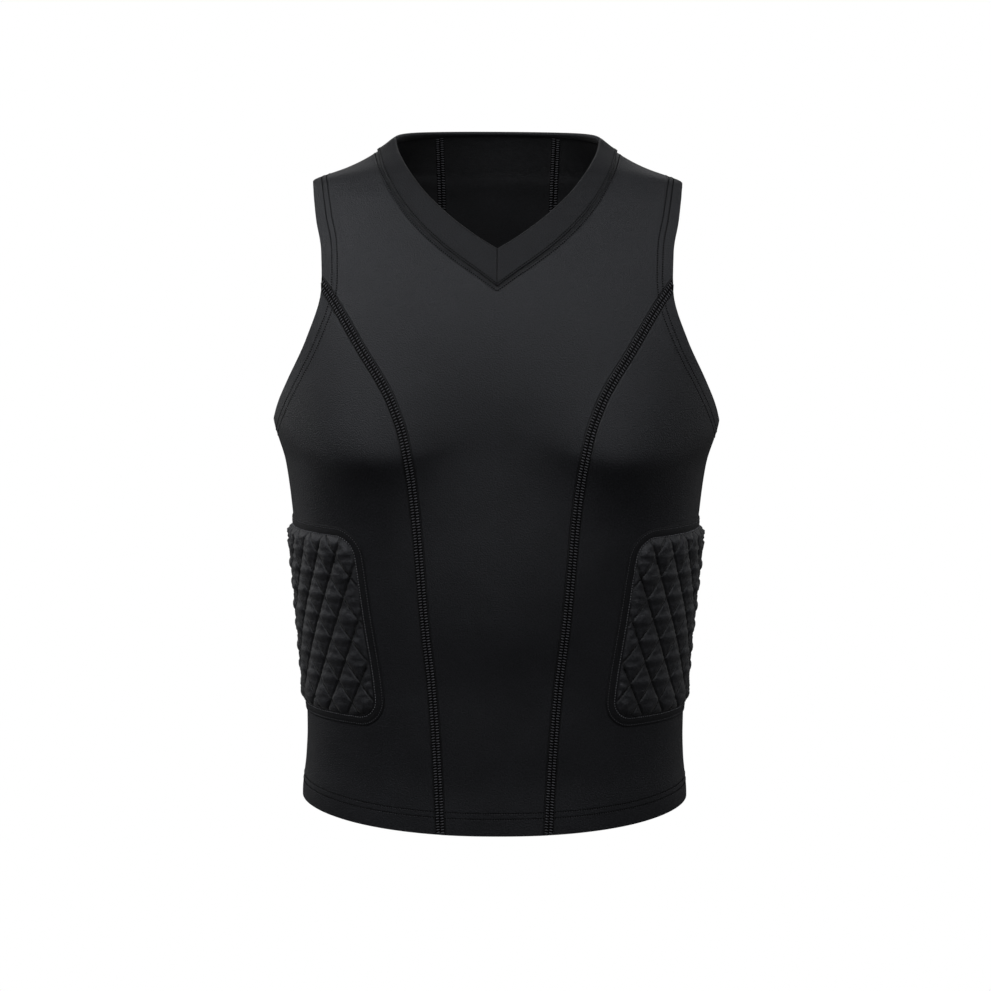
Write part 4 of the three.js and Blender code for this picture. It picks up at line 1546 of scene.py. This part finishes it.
outside = [v for v in sheet.verts if pad_inside(v)[0] < -TRIM_BEYOND]
bmesh.ops.delete(sheet, geom=outside, context="VERTS")
for vert in sheet.verts:
    if vert.is_boundary:
        distance, inwards = pad_inside(vert)
        vert.co.x -= inwards.x * distance
        vert.co.y -= inwards.y * distance
on_lines = []
for vert in sheet.verts:
    numbers = quilt_numbers(vert.co.x, vert.co.y)
    if any(abs(n - round(n)) < ON_LINE for n in numbers):
        on_lines.append(vert)
bmesh.ops.connect_verts(sheet, verts=on_lines)
print("flat sheet:", len(sheet.verts), "points,", len(on_lines), "on stitch lines")

# %% Pins
PIN_REACH = 0.6
sheet.verts.index_update()
pinned = set(v.index for v in on_lines)
flat_places = []
inside_mm = []
for vert in sheet.verts:
    distance = pad_inside(vert)[0]
    inside_mm.append(distance)
    if distance < TUCKED_UNDER + PIN_REACH:
        pinned.add(vert.index)
    vert.co.z = arch(quilt_numbers(vert.co.x, vert.co.y)[1], distance - TUCKED_UNDER)
    flat_places.append(vert.co.copy())
print("pinned:", len(pinned), "points")

# %% Blowing up the sheet
SIM_SCALE = 0.01
SIM_FRAMES = 24
PRESSURE = 25.0
SLACK = 0.074
PUFF_CAP = 4.2
CLOTH_SETTINGS = {
    "quality": 7,
    "mass": 0.25,
    "tension_stiffness": 14,
    "compression_stiffness": 14,
    "shear_stiffness": 6,
    "bending_stiffness": 0.4,
    "air_damping": 4,
    "vertex_group_mass": "pins",
    "use_pressure": True,
    "uniform_pressure_force": PRESSURE,
    "shrink_min": -SLACK,
}


def blown_up(bm):
    """The sheet after the cloth simulation: one place for each point, in millimetres."""
    bmesh.ops.scale(bm, verts=bm.verts, vec=(SIM_SCALE,) * 3)
    mesh = smooth_mesh(bm, "flat_quilt")
    flat_quilt = add_to_scene("flat_quilt", mesh)
    pins = flat_quilt.vertex_groups.new(name="pins")
    pins.add(sorted(pinned), 1.0, "REPLACE")
    cloth = flat_quilt.modifiers.new("quilting", "CLOTH")
    for setting, value in CLOTH_SETTINGS.items():
        setattr(cloth.settings, setting, value)
    cloth.settings.effector_weights.gravity = 0
    cloth.collision_settings.use_collision = False
    cloth.point_cache.frame_end = SIM_FRAMES
    for step in range(1, SIM_FRAMES + 1):
        scene.frame_set(step)
    pressed = flat_quilt.evaluated_get(bpy.context.evaluated_depsgraph_get()).data
    places = [vert.co / SIM_SCALE for vert in pressed.vertices]
    scene.frame_set(1)
    bpy.data.objects.remove(flat_quilt)
    bpy.data.meshes.remove(mesh)
    return places


quilt_copy = sheet.copy()
pressed_places = blown_up(sheet)
for place in pressed_places:
    place.z = min(max(place.z, 0.0), PUFF_CAP)
print("puffs: highest", round(max(p.z for p in pressed_places), 2), "mm")


# %% Wrapping a flat place round the waist
@lru_cache(maxsize=None)
def side_table(height):
    """Distances from the side line to the angles in front of it and behind it, at one height."""
    front = [form(90 - turn, height) for turn in range(0, 90, ARC_STEP)]
    back = [form(90 + turn, height) for turn in range(0, 90, ARC_STEP)]
    return [distances_along(front), distances_along(back)]


def side_angle(u, v):
    table = side_table(round(v))[0 if u > 0 else 1]
    k = min(bisect_right(table, abs(u)) - 1, len(table) - 2)
    turn = ARC_STEP * (k + (abs(u) - table[k]) / (table[k + 1] - table[k]))
    return 90 - turn if u > 0 else 90 + turn


def wrapped(u, v, lift, side):
    return on_cloth(side * side_angle(flared(u, v), v), v, lift)


EDGE_DROP = 3.3
EDGE_REACH = 7.0
FULLNESS = {"top": 1.12, "bottom": 0.76}


def quilt_base(distance):
    """Height of the tight stitch lines above the cloth. They run down to the border."""
    away = 1 - min(1, max(0, distance / EDGE_REACH))
    return QUILT["low"] - EDGE_DROP * away * away


def full(v, lift):
    """A lift made fuller towards the top of the pad, where the foam is thickest."""
    share = (v - PAD["bottom"]) / (PAD["top"] - PAD["bottom"])
    return lift * mix(FULLNESS["bottom"], FULLNESS["top"], share)


TUCK = {"depth": 2.6, "reach": 8.0, "length": 4.6, "start": 2.0}


def tuck(place, distance):
    """Small gathers where the quilting is sewn to its border."""
    past_tape = max(0, distance - TUCKED_UNDER)
    near = math.exp(-past_tape / TUCK["reach"]) * min(1, past_tape / TUCK["start"])
    return TUCK["depth"] * near * noise.noise(Vector((place.x, place.y, 0)) / TUCK["length"])


for place, distance in zip(pressed_places, inside_mm):
    place.z += tuck(place, distance)
bases = [quilt_base(distance) for distance in inside_mm]
print("stitch lines lie", round(min(bases), 1), "to", round(max(bases), 1), "mm above the cloth")


# %% Closed pads
PAD_LIFT = 0.5
LINE_GAP = 2 / math.hypot(1 / QUILT["across"], 1 / QUILT["up"])


def quilted_pad(name, side, nodes):
    """The pressed top layer and a back layer with the same outline, closed round the edge."""
    bm = quilt_copy.copy()
    bm.verts.ensure_lookup_table()
    weave = bm.loops.layers.uv.new("weave")
    tight_mm = bm.verts.layers.float.new("tight_mm")
    loose_mm = bm.verts.layers.float.new("loose_mm")
    tops = list(bm.verts)
    for vert, place in zip(tops, flat_places):
        p, q = quilt_numbers(place.x, place.y)
        vert[tight_mm] = abs(q - round(q)) * LINE_GAP
        vert[loose_mm] = abs(p - round(p)) * LINE_GAP
    for face in bm.faces:
        for loop in face.loops:
            loop[weave].uv = flat_places[loop.vert.index].xy * MM
    grown = bmesh.ops.extrude_face_region(bm, geom=bm.faces[:])
    raised = [g for g in grown["geom"] if isinstance(g, bmesh.types.BMVert)]
    for vert, place, base in zip(tops, pressed_places, bases):
        vert.co = wrapped(place.x, place.y, full(place.y, base + place.z), side)
    back_of = kdtree.KDTree(len(flat_places))
    for i, place in enumerate(flat_places):
        back_of.insert(place, i)
    back_of.balance()
    for vert in raised:
        flat_place = flat_places[back_of.find(vert.co)[1]]
        vert.co = wrapped(flat_place.x, flat_place.y, PAD_LIFT, side)
    bmesh.ops.recalc_face_normals(bm, faces=bm.faces)
    piece = new_piece(name, smooth_mesh(bm, name), pad_finish, nodes)
    print(name, "-", len(piece.data.polygons), "faces")


quilted_pad("pad_quilt_left", 1, ["pad_left"])
quilted_pad("pad_quilt_right", -1, ["pad_right"])

# %% [markdown]
# ## Borders of the pads
#
# Each pad is sewn on under a narrow tape that slopes up from the shirt to the quilting, with a row of
# stitches along both of its edges. It is one line of points across the tape, carried round the pad's
# outline.

# %% Sewn tape round each pad
# Columns: distance in from the tape's outer edge, and lift above the cloth
TAPE_PROFILE = [
    (0.0, 0.1),
    (0.2, 0.6),
    (0.8, 0.95),
    (1.9, 0.75),
    (3.2, 1.2),
    (5.0, 1.45),
    (6.6, 1.4),
    (7.9, 1.2),
    (8.8, 1.7),
    (9.5, 2.2),
    (9.9, 1.7),
]


def unflared(place):
    return place.x / (1 + QUILT["flare"] * (QUILT["row_at"] - place.y)), place.y


def pad_tape(name, side, nodes):
    loops = [pad_outline(inset) for inset, _ in TAPE_PROFILE]
    around = len(loops[0])
    bm = bmesh.new()
    bmesh.ops.create_grid(bm, x_segments=around, y_segments=len(TAPE_PROFILE) - 1, size=0.5)
    weave = bm.loops.layers.uv.new("weave")
    spots = {}
    for vert in bm.verts:
        m = round((vert.co.x + 0.5) * around)
        k = round((vert.co.y + 0.5) * (len(TAPE_PROFILE) - 1))
        u, v = unflared(loops[k][m % around])
        spots[vert] = (OUTLINE_STEP * m * MM, TAPE_PROFILE[k][0] * MM)
        vert.co = wrapped(u, v, TAPE_PROFILE[k][1], side)
    lay_flat(bm, weave, spots)
    bmesh.ops.remove_doubles(bm, verts=bm.verts, dist=SEAL_WITHIN)
    if side > 0:
        bmesh.ops.reverse_faces(bm, faces=bm.faces)
    area = sum(face.calc_area() for face in bm.faces)
    piece = new_piece(name, smooth_mesh(bm, name), tape_finish, nodes)
    print(name, "- area", round(area, 4), "square metres")
    return piece


pad_tape_left = pad_tape("pad_tape_left", 1, ["pad_border_left"])
pad_tape_right = pad_tape("pad_tape_right", -1, ["pad_border_right"])

# %% [markdown]
# The tape is sewn down by a row near each of its edges, and dark thread runs along the lines of the
# quilting. The same small stretched spheres serve here. They could be dropped onto the finished pads,
# but the flat pattern already gives the place of every line, so each row is worked out flat and then
# wrapped as the pad is.

# %% Stitching on the tape and through the quilting
TAPE_STITCH = {"pitch": 2.3, "long": 1.15, "wide": 0.85, "high": 0.8}
QUILT_STITCH = {"pitch": 2.6, "long": 2.2, "wide": 0.9, "high": 0.7}
TAPE_ROWS = [("outer", 1.9, outer_tape_thread), ("inner", 7.9, inner_tape_thread)]
TAPE_STITCH_LIFT = 0.15
QUILT_REACH = 13
QUILT_STEPS = 104
QUILT_MARGIN = 0.8


def wrapped_row(places, lifts, side, size, closed):
    points = [wrapped(u, v, lift, side) for (u, v), lift in zip(places, lifts)]
    outs = [form_normal(side * side_angle(flared(u, v), v), v) for u, v in places]
    stations = stations_along(points, outs, size["pitch"], closed)
    return stitches(stations, size, sides=5, rings=3)


def quilt_rows(side):
    """Rows of stitches along both sets of lines, kept inside the pad's border."""
    parts = []
    for tight in (True, False):
        for number in range(-QUILT_REACH, QUILT_REACH):
            places, lifts = [], []
            for other in spread(-QUILT_REACH, QUILT_REACH, QUILT_STEPS):
                p, q = (other, number) if tight else (number, other)
                u, v = (p + q + 0.5) * QUILT["across"], QUILT["row_at"] + (p - q) * QUILT["up"]
                distance = inside_by(pad_edge, Vector((flared(u, v), v)))[0]
                if distance > TUCKED_UNDER + QUILT_MARGIN:
                    places.append((u, v))
                    line_lift = quilt_base(distance) + arch(q, distance - TUCKED_UNDER)
                    lifts.append(full(v, line_lift) + THREAD_LIFT)
            if len(places) > 2:
                parts.append(wrapped_row(places, lifts, side, QUILT_STITCH, False))
    return parts


for hand, side in (("left", 1), ("right", -1)):
    for row_name, inset, row_thread in TAPE_ROWS:
        places = [unflared(place) for place in pad_outline(inset)]
        tape_parts = []
        for lift in (dict(TAPE_PROFILE)[inset] + TAPE_STITCH_LIFT, CLOTH_INSIDE_LIFT):
            tape_parts.append(wrapped_row(places, [lift] * len(places), side, TAPE_STITCH, True))
        thread_piece(f"tape_thread_{row_name}_{hand}", tape_parts, row_thread)
    thread_piece(f"quilt_thread_{hand}", quilt_rows(side))

# %% [markdown]
# ## Cloth facts
#
# The shirt is worn tight, so every panel is cut narrower than it is worn.

# %% End of the shirt
print("all pieces of the shirt are made")
